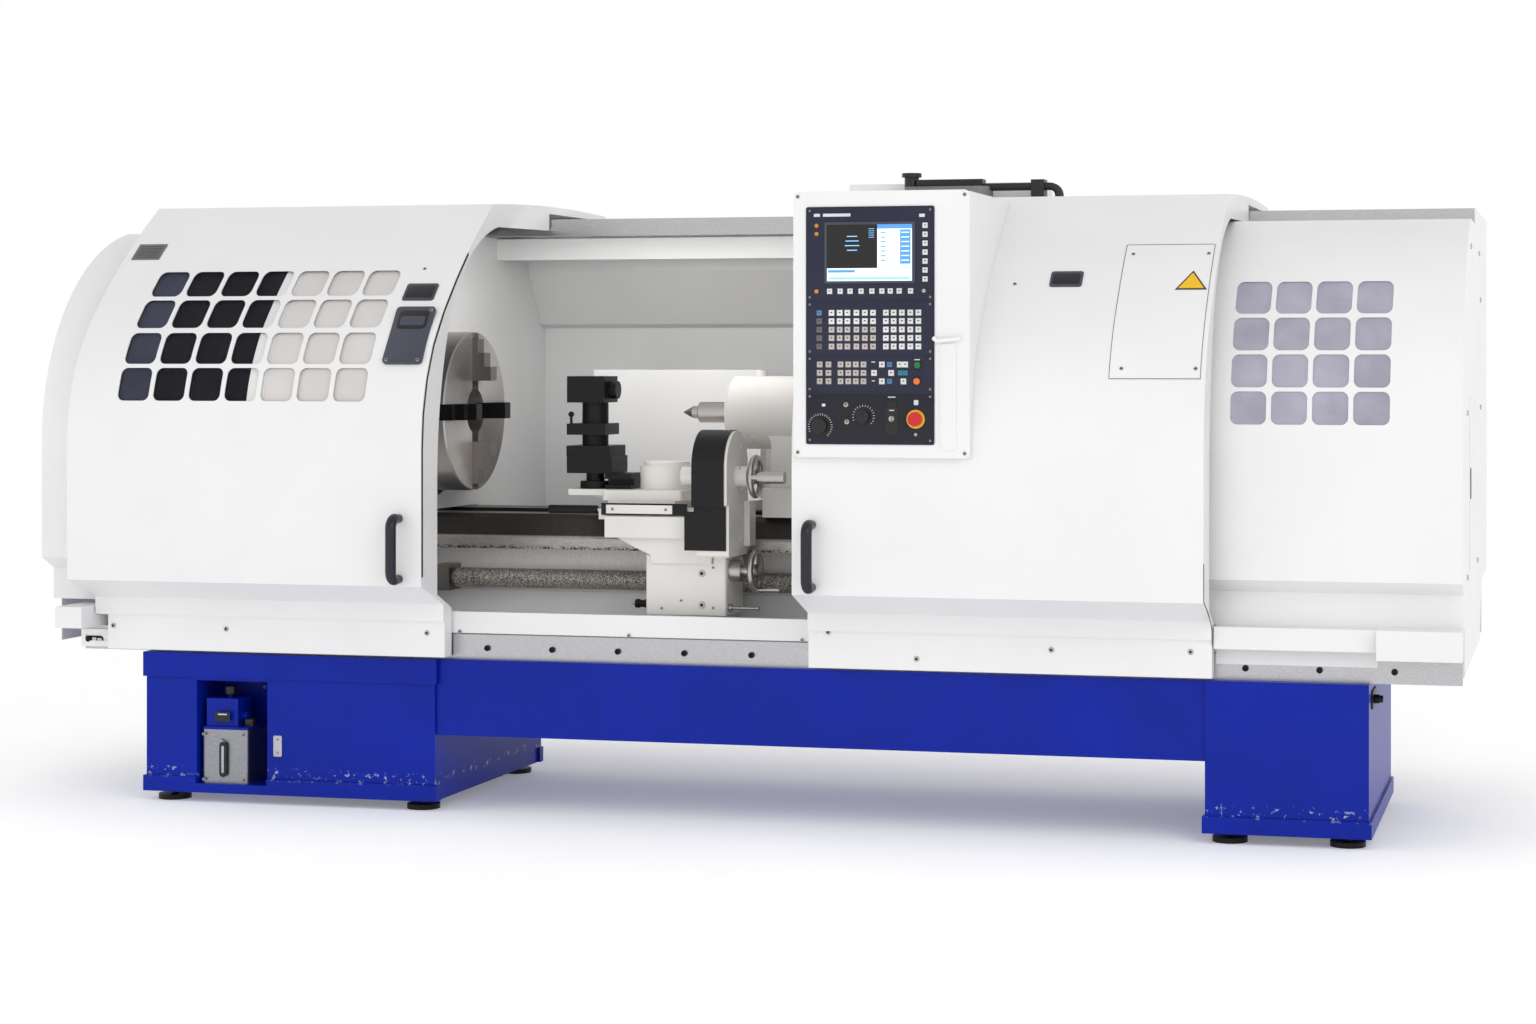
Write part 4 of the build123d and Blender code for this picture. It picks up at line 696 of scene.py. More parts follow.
# Bare metal: light and dark lines, roughness, how the lines are squeezed, their grain and relief.
BARE_METALS = {
    "tank steel": ((176, 178, 182), (128, 130, 136), 0.36, (1, 1, 14), 120.0, 0.15),
    "bright steel": ((206, 202, 198), (150, 147, 144), 0.24, (1, 6, 6), 300.0, 0.2),
    "rail steel": ((206, 206, 208), (168, 168, 172), 0.3, (1, 18, 18), 90.0, 0.2),
    "dark steel": ((164, 160, 156), (104, 100, 97), 0.34, (8, 1, 8), 200.0, 0.2),
    "brass": ((206, 178, 120), (150, 122, 72), 0.28, (1, 1, 1), 300.0, 0.2),
}

# Which finish each of the model's own parts takes.
NODE_FINISHES = {
    "cover paint": (
        "left_cover", "right_cover", "left_door", "right_door", "rear_enclosure", "headstock_wall",
        "rail_covers", "chip_tray", "pendant", "access_cover", "roof_beam", "rear_guard"),
    "machine paint": (
        "headstock", "saddle", "apron", "guard_housing", "cross_slide", "tool_drum", "tailstock"),
    "base enamel": ("base_frame", "lube_pump"),
    "grey paint": ("spindle_motor", "z_motor"),
    "tank steel": ("lube_tank",),
    "bed iron": ("bed",),
    "turned steel with painted sheen": ("chuck",),
    "screw steel": ("ball_screw",),
    "bright steel": (
        "spindle", "quill", "live_center", "upper_handwheel", "lower_handwheel", "apron_lever",
        "key_switch"),
    "rail steel": ("door_rail", "upper_rail"),
    "dark steel": ("jaw_1", "jaw_3", "shaft_bearings"),
    # painted shade: the four jaws are alike, and jaw_2 and jaw_4 take black oxide for the pair in shade
    "black oxide": (
        "leveling_feet", "rail_bolts", "tool_head", "tool_holder", "jaw_2", "jaw_4"),
    "cast iron": ("motor_pulley",),
    "black plastic": ("cable_arm", "feed_dial", "jog_dial"),
    "belt rubber": ("drive_belt",),
    "hose rubber": ("conduits",),
    "handle plastic": ("left_handle", "right_handle"),
    "smoked glass": ("left_window",),
    "pale glass": ("right_window",),
    "panel film": ("panel_bezel",),
    "white keys": ("keys",),
    "green plastic": ("cycle_start_button",),
    "orange plastic": ("feed_hold_button",),
    "red plastic": ("emergency_stop",),
}


class MixFinishes(bpy.types.Operator):
    """Mix every finish and lay it on the model's own parts"""

    bl_idname = "lathe.mix_finishes"
    bl_label = "Mix the finishes"

    def execute(self, context):
        colours, _ = settings()
        cover, machine = colours.cover[:], colours.machine[:]
        painted("cover paint", cover, tuple(c * 0.97 for c in cover), 0.34, 0.2, 650.0,
                Coat_Weight=0.12, Coat_Roughness=0.2)
        painted("machine paint", machine, tuple(c * 0.93 for c in machine), 0.38, 0.3, 380.0)
        painted("handle plastic", colours.handle[:], tuple(c * 1.3 for c in colours.handle),
                0.27, 0.1, 1500.0, Specular_IOR_Level=0.4)
        painted("panel film", colours.panel[:], tuple(c * 0.86 for c in colours.panel),
                0.4, 0.25, 1400.0, Specular_IOR_Level=0.25)
        for name, (colour, shade, rough, relief, grain, specular) in PAINTS.items():
            painted(name, tone(*colour), tone(*shade), rough, relief, grain,
                    Specular_IOR_Level=specular)
        for name, (colour, shade, rough) in KEY_PLASTICS.items():
            painted(name, tone(*colour), tone(*shade), rough, 0.1, 1500.0)
        for name, (light, dark, rough, stretch, grain, relief) in BARE_METALS.items():
            metal(name, tone(*light), tone(*dark), rough, stretch, grain, relief)
        metal("black oxide", tone(22, 21, 22), tone(10, 10, 11), 0.42, (1, 1, 1), 260.0, 0.35, 0.3,
              Specular_IOR_Level=0.35)
        metal("cast iron", tone(92, 90, 88), tone(60, 58, 57), 0.55, (1, 1, 1), 400.0, 0.6, 0.7)
        mix_enamel(colours)
        mix_bed()
        mix_chuck()
        mix_screw()
        mix_glass("smoked glass", tone(96, 96, 110), 0.04, 0.08, 0.12)
        mix_glass("pale glass", tone(186, 183, 200), 0.5)
        mix_glow("screen black", tone(7, 8, 11), 0.02)
        mix_glow("screen pale", tone(206, 224, 244), 0.85, 0.25)
        mix_glow("screen blue", tone(70, 132, 204), 0.8, 0.2)
        mix_glow("screen line", tone(124, 176, 226), 0.9)
        for finish, names in NODE_FINISHES.items():
            for name in names:
                node = NODES[name]
                if not node.material_slots:
                    node.data.materials.append(None)
                for place in node.material_slots:
                    place.material = FINISHES[finish]
        return {"FINISHED"}


# ------------------------------------------------------------------ doors and covers
class FitCovers(bpy.types.Operator):
    """Fit the liner and fittings behind the right window, and the screws, flap, louvres and service
    doors of the fixed covers
    """

    bl_idname = "lathe.fit_covers"
    bl_label = "Fit out the covers"

    def execute(self, context):
        _, sizes = settings()
        self.fit_right_window(sizes)
        self.fit_right_end(sizes)
        self.fit_left_end(sizes)
        self.fit_back(sizes)
        return {"FINISHED"}

    def fit_right_window(self, sizes):
        """The pale liner behind the right window, and the fittings that show in front of it."""
        back = Shape("right_cover_liner", "liner pale")
        skin = down_skin("right_cover", 3.85, [1.15 + 0.02 * i for i in range(25)])
        low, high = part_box("right_window")
        lap, behind_skin = 0.02, 0.19
        inset = Vector((low.x - lap - skin[0][0].x, behind_skin, 0))
        back.strip([(p + inset, n) for p, n in skin], LEVEL * (high.x - low.x + 2 * lap), sizes.sheet)
        back.done("base")
        hidden = Shape("coolant_fittings", "black oxide", "rail steel")
        hidden.block((3.575, 0.10, 1.17), (3.635, 0.15, 1.235), 0)
        hidden.block((3.650, 0.09, 1.17), (3.745, 0.14, 1.225), 0)
        for (x, z), along, radius, length, finish in (
                ((3.62, 1.235), UPWARD, 0.009, 0.05, 0), ((3.665, 1.225), UPWARD, 0.006, 0.2, 1),
                ((3.735, 1.225), UPWARD, 0.006, 0.2, 1), ((3.66, 1.425), LEVEL, 0.006, 0.08, 1)):
            hidden.turned(at(x, 0.12, z), along, ((0, radius), (length, radius)), finish, 16)
        hidden.done("base", 0.001)

    def fit_right_end(self, sizes):
        """The right end's screws and its small flap."""
        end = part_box("right_cover")[1].x - LEFT
        spots = ((1.213, 1.547), (1.213, 1.208), (0.973, 0.741), (0.256, 0.741), (0.256, 1.208),
                 (0.5, 1.69), (1.1, 1.69))
        screws("cover_end_screws", sizes.cover_screw, 0.0035,
               [side_place(end, y, z) for y, z in spots], "base")
        flap = Shape("cover_end_flap", "cover paint", "black oxide")
        flap.slab(at(end, 0.62, 1.0), LEVEL, (0.42, 0.5), 0.0016, 0, 0.02)
        flap.slab(at(end + 0.0016, 0.45, 1.0), LEVEL, (0.03, 0.09), 0.002, 1, 0.008)
        flap.done("base", 0.0005)

    def fit_left_end(self, sizes):
        """The left end's louvres, hatch and screws."""
        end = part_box("left_cover")[0].x - LEFT
        vents = Shape("left_end_vents", "black oxide", "cover paint")
        for i in range(14):
            vents.slab(at(end, 0.75, 1.20 + 0.022 * i), LEFTWARD, (0.36, 0.009), 0.0012, 0, 0.004)
        vents.slab(at(end, 0.75, 0.84), LEFTWARD, (0.5, 0.42), 0.0016, 1, 0.02)
        vents.done("base", 0.0004)
        screws("left_end_screws", sizes.cover_screw, 0.0035,
               [side_place(end, y, z, LEFTWARD) for y in (0.53, 0.97) for z in (0.66, 1.02)], "base")

    def fit_back(self, sizes):
        """Service doors, louvres and screws on the enclosure's back."""
        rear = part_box("rear_enclosure")[1].y - FRONT
        door, face, height = 0.0018, rear + 0.0018, 1.12
        back = Shape("back_panels", "cover paint", "black oxide", "latch plastic")
        places = []
        for x in (0.71, 1.61, 2.51, 3.41):
            back.slab(at(x, rear, height), BACKWARD, (0.7, 0.86), door, 0, 0.015)
            for i in range(12):
                back.slab(at(x, face, 0.82 + 0.024 * i), BACKWARD, (0.3, 0.01), 0.002, 1, 0.004)
            back.slab(at(x + 0.3, face, 1.3), BACKWARD, (0.03, 0.1), 0.006, 2, 0.01)
            places += [(at(x + dx, face, height + dz), BACKWARD, LEVEL)
                       for dx in (-0.33, 0.33) for dz in (-0.41, 0.41)]
        back.done("base", 0.0005)
        screws("back_screws", sizes.cover_screw, 0.0035, places, "base")


def pull(shape, node, x, z, frame_size, pocket_size):
    """A finger pull let into a door: its frame and the dark pocket."""
    point, normal = on_skin(node, x, z)
    shape.slab(point - normal * 0.001, normal, frame_size, 0.004, 1, 0.008)
    shape.slab(point + normal * 0.003, normal, pocket_size, 0.0012, 0, 0.006)


def edge_seal(name, door, heights, back, lip):
    """A rubber lip down a door's right edge."""
    seal = Shape(name, "hose rubber")
    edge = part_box(door)[1].x
    line = down_skin(door, edge - LEFT - 0.02, heights)
    seal.strip([(Vector((edge, p.y + back, p.z)), n) for p, n in line], LEVEL * 0.0015, lip)
    seal.done(door)


class FitDoors(bpy.types.Operator):
    """Fit latches, plates, seals and screws to the two sliding doors"""

    bl_idname = "lathe.fit_doors"
    bl_label = "Fit out the doors"

    def execute(self, context):
        _, sizes = settings()
        self.fit_liners(sizes)
        rivets = self.fit_left_latch()
        self.fit_name_plate()
        screws("left_door_screws", sizes.cover_screw, 0.003,
               skin_places("left_door", (0.281, 0.536), (0.940, 0.539), (-0.1, 0.538)), "left_door")
        screws("left_latch_screws", 0.006, 0.002,
               skin_places("left_door", (0.881, 1.635)) + rivets, "left_door")
        edge_seal("left_door_seal", "left_door", (0.72, 0.9, 1.1, 1.2, 1.3, 1.4, 1.5, 1.6, 1.68),
                  0.012, 0.008)
        latch = Shape("right_door_latch", "black plastic", "latch plastic")
        pull(latch, "right_door", 2.874, 1.589, (0.094, 0.064), (0.08, 0.044))
        latch.done("right_door", 0.0005)
        screws("right_door_screws", sizes.cover_screw, 0.003, skin_places(
            "right_door", (2.187, 0.571), (2.843, 0.536), (2.45, 0.50), (3.24, 0.54)), "right_door")
        screws("right_latch_screws", 0.006, 0.002,
               skin_places("right_door", (2.726, 1.576)) + skin_places(
                   "access_cover", (3.055, 1.662), (3.272, 1.662), (3.065, 1.335), (3.272, 1.335)),
               "right_door")
        self.fit_access_cover()
        edge_seal("right_door_seal", "right_door", (0.56, 0.61, 0.65, 0.696, 0.73, 0.765, 0.8),
                  0.004, 0.005)
        return {"FINISHED"}

    def fit_liners(self, sizes):
        """Four sheets behind the left door's window: painted shadow in black, painted reflection in
        slate.
        """
        low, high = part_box("left_window")
        skin = down_skin("left_door", -0.12, [1.22 + 0.021 * i for i in range(21)])
        behind_glass = 0.0105
        for name, finish, left, right in (
                # painted reflection: a slate sheet in place of the reflection in the glass's first
                # column
                ("left_door_painted_reflection_liner", "liner slate", low.x, LEFT + 0.112),
                # painted shadow: a black sheet where the space behind the glass lies in shade
                ("left_door_painted_shadow_liner", "liner black", LEFT + 0.1125, LEFT + 0.424),
                ("left_door_flange_liner", "liner white", LEFT + 0.4245, LEFT + 0.4795),
                ("left_door_pale_liner", "liner pale", LEFT + 0.48, high.x)):
            liner = Shape(name, finish)
            liner.strip([(Vector((left, p.y, p.z)) - n * behind_glass, n) for p, n in skin],
                        LEVEL * (right - left), sizes.sheet)
            liner.done("left_door")

    def fit_left_latch(self):
        """The left door's pull and its latch plate; gives back the plate's rivets."""
        latch = Shape("left_door_latch", "black plastic", "latch plastic")
        pull(latch, "left_door", 0.900, 1.562, (0.102, 0.072), (0.088, 0.05))
        point, normal = on_skin("left_door", 0.914, 1.432)
        latch.slab(point - normal * 0.006, normal, (0.125, 0.205), 0.010, 1, 0.012)
        up, plane = normal.cross(LEVEL).normalized(), point + normal * 0.004
        latch.slab(plane + up * 0.054, normal, (0.094, 0.066), 0.0012, 0, 0.012)
        latch.slab(plane + up * 0.049 + normal * 0.0012, normal, (0.078, 0.034), 0.0008, 1, 0.008)
        latch.done("left_door", 0.0006)
        return [(plane + up * dz + LEVEL * dx, normal, LEVEL)
                for dx, dz in ((-0.05, -0.092), (0.05, -0.092), (0.05, 0.09))]

    def fit_name_plate(self):
        """The grey plate near the left door's top, with blank rows."""
        plate = Shape("left_door_plate", "plate grey", "key ink")
        point, normal = on_skin("left_door", -0.082, 1.697)
        up = normal.cross(LEVEL).normalized()
        thick = 0.0014
        plate.slab(point, normal, (0.097, 0.078), thick, 0, 0.003)
        for i in range(6):
            row = point + up * (0.026 - 0.0105 * i) + normal * thick
            plate.slab(row, normal, (0.078, 0.0035), 0.0005, 1, 0.001)
        plate.done("left_door", 0.0003)

    def fit_access_cover(self):
        """The seam round the access cover, and the yellow triangle on it."""
        seam = Shape("access_cover_seam", "key ink")
        low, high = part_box("access_cover")
        heights = [low.z + 0.002 + (high.z - low.z - 0.004) * i / 10 for i in range(11)]
        width, rise = 0.0016, 0.0006
        for x in (low.x + 0.001, high.x - 0.0025):
            skin = down_skin("access_cover", x - LEFT + 0.003, heights)
            seam.strip([(Vector((x, p.y, p.z)), n) for p, n in skin], LEVEL * width, rise)
        for z in (heights[0], heights[-1]):
            point, normal = on_skin("access_cover", (low.x + high.x) / 2 - LEFT, z)
            seam.slab(point, normal, (high.x - low.x - 0.006, width), rise)
        seam.done("right_door")
        sign = Shape("electric_cabinet_sign", "key ink", "yellow plastic")
        point, normal = on_skin("access_cover", 3.236, 1.575)
        up = normal.cross(LEVEL).normalized()
        for size, lift, finish in ((0.052, 0.0, 0), (0.042, 0.001, 1)):
            corners = [point + normal * lift + LEVEL * (size * math.sin(a)) + up * (size * math.cos(a))
                       for a in (0, 2 * math.pi / 3, 4 * math.pi / 3)]
            sign.prism(corners, normal * 0.0012, finish)
        sign.done("right_door")


# ------------------------------------------------------------------ control panel
def on_panel(x, z, lift=0.0):
    """A point on the panel's face, from its left edge and the floor."""
    return Vector((PANEL_LEFT + x, BEZEL_FACE - lift, z))


def lay(shape, lift, *plates):
    """Thin plates on the panel: x, z, width, height, thickness, finish and corner radius of each."""
    for x, z, width, height, thick, finish, corner in plates:
        shape.slab(on_panel(x, z, lift), FORWARD, (width, height), thick, finish, corner)


class FitPanel(bpy.types.Operator):
    """Fit the display, keys, dial scales, lamps and screws of the control panel"""

    bl_idname = "lathe.fit_panel"
    bl_label = "Fit out the control panel"

    def execute(self, context):
        _, sizes = settings()
        self.fit_display()
        self.fit_keys(sizes)
        self.fit_scales()
        self.fit_controls()
        self.fit_panel_screws(sizes)
        self.fit_box()
        self.fit_roof()
        return {"FINISHED"}

    def fit_display(self):
        """The screen, its bezel and the seams between the panel's four plates."""
        body = body_of(NODES["panel_bezel"])[0]
        plates = Shape("panel_plates", "panel film", "panel film low", "black plastic")
        for low, high in PANEL_PLATES:
            lowest = high == PANEL_PLATES[-1][1]
            lay(plates, 0, (0.186, (low + high) / 2, 0.362, high - low, FILM, int(lowest), 0.003))
        plates.done(body, 0.0004)
        screen = Shape("display", "latch plastic", "screen black", "screen pale", "screen blue",
                       "screen line")
        layer = 0.0006
        glass = 0.004
        first, second, third = (glass + layer * i for i in (1, 2, 3))
        lay(screen, 0, (0.186, 1.660, 0.262, 0.172, glass, 0, 0.004))
        lay(screen, glass, (0.186, 1.660, 0.248, 0.158, layer, 1, 0.002))
        lay(screen, first, (0.136, 1.678, 0.144, 0.121, layer, 1, 0),
            (0.259, 1.678, 0.1, 0.121, layer, 2, 0), (0.186, 1.5985, 0.246, 0.036, layer, 2, 0))
        lay(screen, second, (0.259, 1.733, 0.1, 0.012, layer, 3, 0),
            (0.290, 1.676, 0.03, 0.096, layer, 3, 0), (0.105, 1.608, 0.078, 0.007, layer, 3, 0),
            (0.186, 1.588, 0.236, 0.006, layer, 4, 0))
        row = 0.0004
        for i, width in enumerate((0.03, 0.038, 0.042, 0.03)):
            lay(screen, second, (0.136, 1.706 - 0.013 * i, width, 0.0025, row, 4, 0))
        for i in range(7):
            lay(screen, second, (0.226, 1.716 - 0.013 * i, 0.014, 0.003, row, 3, 0))
            lay(screen, third, (0.290, 1.716 - 0.013 * i, 0.022, 0.003, row, 2, 0))
        for i in range(5):
            lay(screen, second, (0.192, 1.727 - 0.006 * i, 0.016, 0.0014, row, 4, 0))
        screen.done(body)

    def fit_keys(self, sizes):
        """Every key of the panel, in place of the plain ones."""
        body = body_of(NODES["keys"])[0]
        letter_x = (0.075, 0.0988, 0.1212, 0.1475, 0.1719, 0.1956)
        number_x = (0.2328, 0.2553, 0.279, 0.3034, 0.3265)
        mode_x = (0.0404, 0.0661, 0.1013, 0.1238, 0.1456, 0.168)
        rows = (1.4913, 1.4677, 1.444, 1.4203, 1.3966)
        top, middle, bottom = 1.346, 1.3223, 1.2987
        margin, soft_z, soft_pitch = 0.0391, 1.552, 0.0250
        white = [(x, z) for z in rows for x in (letter_x if z in rows[:2] else ()) + number_x]
        white += [(0.2213, top), (0.1985, middle), (0.2482, middle), (0.2213, bottom), (0.273, top),
                  (0.2886, top), (0.2835, bottom)]
        grey = [(x, z) for z in rows[2:] for x in letter_x]
        grey += [(x, z) for z in (top, middle, bottom) for x in mode_x]
        dark = [(margin, z) for z in rows[1:]]
        blue = [(margin, rows[0]), (0.2434, top), (0.2434, bottom)]
        teal = [(0.2745, middle), (0.2886, middle)]
        soft = [(x, soft_z) for x in
                (0.0693, 0.1001, 0.129, 0.161, 0.1924, 0.2213, 0.2456, 0.2713, 0.304)]
        soft += [(0.3457, 1.7351 - soft_pitch * i) for i in range(7)]
        keys = None
        for label, group, share in (("white keys", white, 1.0), ("grey keys", grey, 1.0),
                                    ("dark keys", dark, 1.0), ("blue keys", blue, 0.9),
                                    ("teal keys", teal, 0.85), ("white keys", soft, 0.92)):
            tree = repeat_tree("Keys", {"Width": 0.0165, "Height": 0.0165, "Depth": 0.0016},
                               cap_item(label, "key ink"))
            width = sizes.key * share
            piece = repeated("key_caps", tree,
                             {"Width": width, "Height": width, "Depth": sizes.key_rise},
                             [(on_panel(x, z, FILM), FORWARD, LEVEL) for x, z in group],
                             body)
            keys = piece if keys is None else join(keys, piece)
        keys.name = "key_caps"
        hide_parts("keys")

    def fit_scales(self):
        """The ticks round the two dials."""
        ticks = []
        for name, count, first, last, reach in (("feed_dial", 23, 205, -50, 0.0335),
                                                ("jog_dial", 17, 200, -40, 0.03)):
            centre = middle_of(name)
            centre.y = BEZEL_FACE - FILM
            for i in range(count):
                angle = math.radians(first + (last - first) * i / (count - 1))
                out = Vector((math.cos(angle), 0, math.sin(angle)))
                ticks.append((centre + out * reach, FORWARD, out))
        tree = repeat_tree("Dial ticks", {"Width": 0.006, "Height": 0.0012, "Depth": 0.0004},
                           cap_item("white ink"))
        repeated("dial_ticks", tree, {"Width": 0.006, "Height": 0.0013, "Depth": 0.0005}, ticks,
                 body_of(NODES["panel_bezel"])[0])

    def fit_controls(self):
        """Toggles, lamps, the stop's yellow ring and the key switch's plate."""
        extras = Shape("panel_fittings", "yellow plastic", "black plastic", "amber lamp", "brass",
                       "white ink", "screen black", "bright steel")
        stop = middle_of("emergency_stop")
        stop.y = BEZEL_FACE - FILM
        extras.ring(stop, FORWARD, 0.0052, 0.0262, 0.002, 0)
        lay(extras, FILM, (0.250, 1.190, 0.034, 0.082, FILM, 1, 0.003),
            (0.250, 1.235, 0.026, 0.02, 0.003, 5, 0.002))
        nut = ((0, 0.0075), (0.0025, 0.007), (0.003, 0.0045), (0.006, 0.004))
        toggle = ((0, 0.0022), (0.012, 0.0032), (0.014, 0.002))
        for x, z in ((0.1174, 1.233), (0.120, 1.185)):
            extras.turned(on_panel(x, z, FILM), FORWARD, nut, 6, 20)
            extras.turned(on_panel(x, z, 0.006), Vector((0.1, -1, 0.45)), toggle, 3, 16)
        for x, z in ((0.0315, 1.737), (0.0315, 1.714), (0.0315, 1.552)):
            extras.turned(on_panel(x, z, FILM), FORWARD,
                          ((0, 0.006), (0.002, 0.0058), (0.0032, 0.0035)), 2, 20)
        extras.turned(on_panel(0.3425, 1.552, FILM), FORWARD, ((0, 0.006), (0.0022, 0.0055)), 6, 20)
        extras.turned(on_panel(0.319, 1.150, FILM), FORWARD, ((0, 0.005), (0.002, 0.0045)), 6, 20)
        ink = 0.0004
        lay(extras, FILM, (0.0325, 1.7665, 0.018, 0.0085, ink, 4, 0),
            (0.0900, 1.7665, 0.08, 0.0085, ink, 4, 0), (0.337, 1.763, 0.016, 0.009, ink, 4, 0),
            (0.320, 1.2395, 0.013, 0.014, ink, 4, 0.002), (0.052, 1.2315, 0.010, 0.008, ink, 4, 0.002),
            (0.323, 1.3595, 0.016, 0.003, ink, 4, 0))
        for x, z, width in ((0.197, 1.353, 0.011), (0.197, 1.3, 0.009), (0.250, 1.2545, 0.022),
                            (0.250, 1.2175, 0.014)):
            lay(extras, 2 * FILM, (x, z, width, 0.0028, ink, 4, 0))
        extras.done(body_of(NODES["panel_bezel"])[0])

    def fit_panel_screws(self, sizes):
        """A screw in each corner of the panel's plates."""
        corners = [(on_panel(x, z, FILM), FORWARD, LEVEL) for low, high in PANEL_PLATES
                   for x in (0.0115, 0.3605) for z in (low + 0.007, high - 0.007)]
        screws("panel_screws", sizes.panel_screw, 0.0012, corners,
               body_of(NODES["panel_bezel"])[0])

    def fit_box(self):
        """The hook, the pressed panel and the screws on the panel's white box."""
        body = body_of(NODES["pendant"])[0]
        low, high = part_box("pendant")
        white = Shape("panel_box_fittings", "cover paint")
        white.slab(Vector((high.x - 0.062, BOX_FACE, 1.255)), FORWARD, (0.048, 0.30), 0.0025, 0, 0.012)
        hook = Vector((high.x - 0.098, BOX_FACE, 1.418))
        white.turned(hook, FORWARD, ((0, 0.007), (0.012, 0.007), (0.014, 0.004)), 0, 20)
        white.slab(hook + Vector((0.038, -0.006, -0.003)), FORWARD, (0.078, 0.011), 0.005, 0, 0.005,
                   math.radians(5))
        white.done(body, 0.0012)
        screws("panel_box_screws", 0.006, 0.0022,
               box_corners(low, high, 0.013, 0.014, 1.098 - low.z, 0.014), body)

    def fit_roof(self):
        """The swivel plate and the raised box that carry the panel's cable arm."""
        low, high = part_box("cable_arm")
        post = Vector((low.x + 0.030, (low.y + high.y) / 2, 0))
        roof = Shape("roof_fittings", "cover paint", "grey paint", "black plastic")
        radius, bottom = 0.052, 1.848
        outline = []
        for i in range(13):
            angle = math.radians(-90 + 15 * i)
            across, back = radius * math.cos(angle), radius * math.sin(angle)
            outline.append(post + Vector((0.2 + across, back, bottom)))
        outline += [post + Vector((-0.01, y, bottom)) for y in (radius, -radius)]
        roof.prism(outline, UPWARD * 0.034, 1)
        corner = Vector((post.x - 0.215, post.y + 0.07, 1.836))
        roof.prism([corner + Vector((x, y, 0)) for x, y in ((0, 0), (0.58, 0), (0.58, 0.3), (0, 0.3))],
                   UPWARD * 0.062, 0)
        roof.done(body_of(NODES["pendant"])[0], 0.003)


def join(first, second):
    """Two pieces of the same body as one."""
    mesh = bmesh.new()
    finishes = []
    for piece in (first, second):
        start = len(mesh.faces)
        mesh.from_mesh(piece.data)
        mesh.faces.ensure_lookup_table()
        own = list(piece.data.materials)
        finishes += [material for material in own if material not in finishes]
        for face in mesh.faces[start:]:
            face.material_index = finishes.index(own[face.material_index])
    data = new_mesh(first.name, mesh)
    for material in finishes:
        data.materials.append(material)
    first.data = data
    smooth(data)
    bpy.data.objects.remove(second)
    return first


# ------------------------------------------------------------------ work space
class FitCarriage(bpy.types.Operator):
    """Fit the black guards, way covers, screws and connectors of the carriage"""

    bl_idname = "lathe.fit_carriage"
    bl_label = "Fit out the carriage"

    def execute(self, context):
        _, sizes = settings()
        self.fit_guards(sizes)
        self.fit_wiper()
        self.fit_carriage_screws()
        self.fit_connector()
        return {"FINISHED"}

    def fit_guards(self, sizes):
        """The sheet bent over the belt housing, and the way cover's plates."""
        guard = Shape("housing_guard", "black sheet")
        left, axis_y, axis_z, reach = 1.757, 0.130, 1.040, 0.1085
        lower_y, upper_y = 0.0435, 0.0215
        line = [(at(left, y, z), FORWARD) for y, z in
                ((lower_y, 0.795), (lower_y, 0.9235), (upper_y, 0.924), (upper_y, 1.0))]
        for degrees in range(180, 69, -10):
            out = Vector((0, math.cos(math.radians(degrees)), math.sin(math.radians(degrees))))
            line.append((at(left, axis_y + reach * out.y, axis_z + reach * out.z), out))
        guard.strip(line, LEVEL * 0.1, sizes.sheet)
        guard.block((1.728, 0.0425, 0.795), (1.7565, 0.0443, 0.91))
        guard.done("carriage")
        covers = Shape("way_cover", "black sheet", "machine paint")
        covers.block((1.452, 0.0878, 0.894), (1.722, 0.0898, 0.930), 0)
        covers.block((1.468, 0.0858, 0.899), (1.676, 0.0876, 0.925), 1)
        covers.done("carriage", 0.0006)

    def fit_wiper(self):
        """The rod that stands out of the saddle."""
        rod = Shape("wiper_rod", "black oxide", "bright steel")
        rod.turned(at(1.255, 0.17, 0.905), LEVEL,
                   ((0, 0.011), (0.002, 0.013), (0.155, 0.013), (0.157, 0.011)), 0, 24)
        rod.turned(at(1.412, 0.17, 0.905), LEVEL,
                   ((0, 0.007), (0.02, 0.007), (0.021, 0.009), (0.0275, 0.009)), 1, 24)
        rod.done("carriage")

    def fit_carriage_screws(self):
        """The apron's plugs and screws, and those of the belt housing."""
        low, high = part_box("apron")
        left, right = low.x - LEFT, high.x - LEFT
        screws("apron_plugs", 0.011, 0.003,
               skin_places("apron", (right - 0.075, 0.722), (right - 0.075, 0.628)), "carriage")
        small = skin_places("apron", (right - 0.14, 0.640), (right - 0.04, 0.740),
                            (left + 0.05, 0.616), (right - 0.04, 0.620))
        small += [front_place(x, 0.0858, 0.912) for x in (1.488, 1.656)]
        screws("apron_screws", 0.005, 0.002, small, "carriage")
        face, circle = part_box("guard_housing")[1].x - LEFT, 0.095
        rim = [side_place(face, 0.13 + circle * math.cos(a), 1.04 + circle * math.sin(a))
               for a in map(math.radians, range(60, 301, 40))]
        rim += [side_place(face, 0.055, z) for z in (0.83, 0.9)]
        screws("housing_screws", 0.0045, 0.002, rim, "carriage")

    def fit_connector(self):
        """The plug low on the apron's left side."""
        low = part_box("apron")[0]
        start = Vector((low.x, FRONT + 0.16, low.z + 0.028))
        plug = Shape("apron_connector", "black oxide", "bright steel")
        plug.turned(start, LEFTWARD, ((0, 0.014), (0.014, 0.014), (0.015, 0.011), (0.032, 0.011),
                                      (0.033, 0.014), (0.045, 0.013)), 0, 24)
        plug.turned(start + LEFTWARD * 0.045, LEFTWARD, ((0, 0.005), (0.014, 0.004)), 1, 16)
        plug.done("carriage")


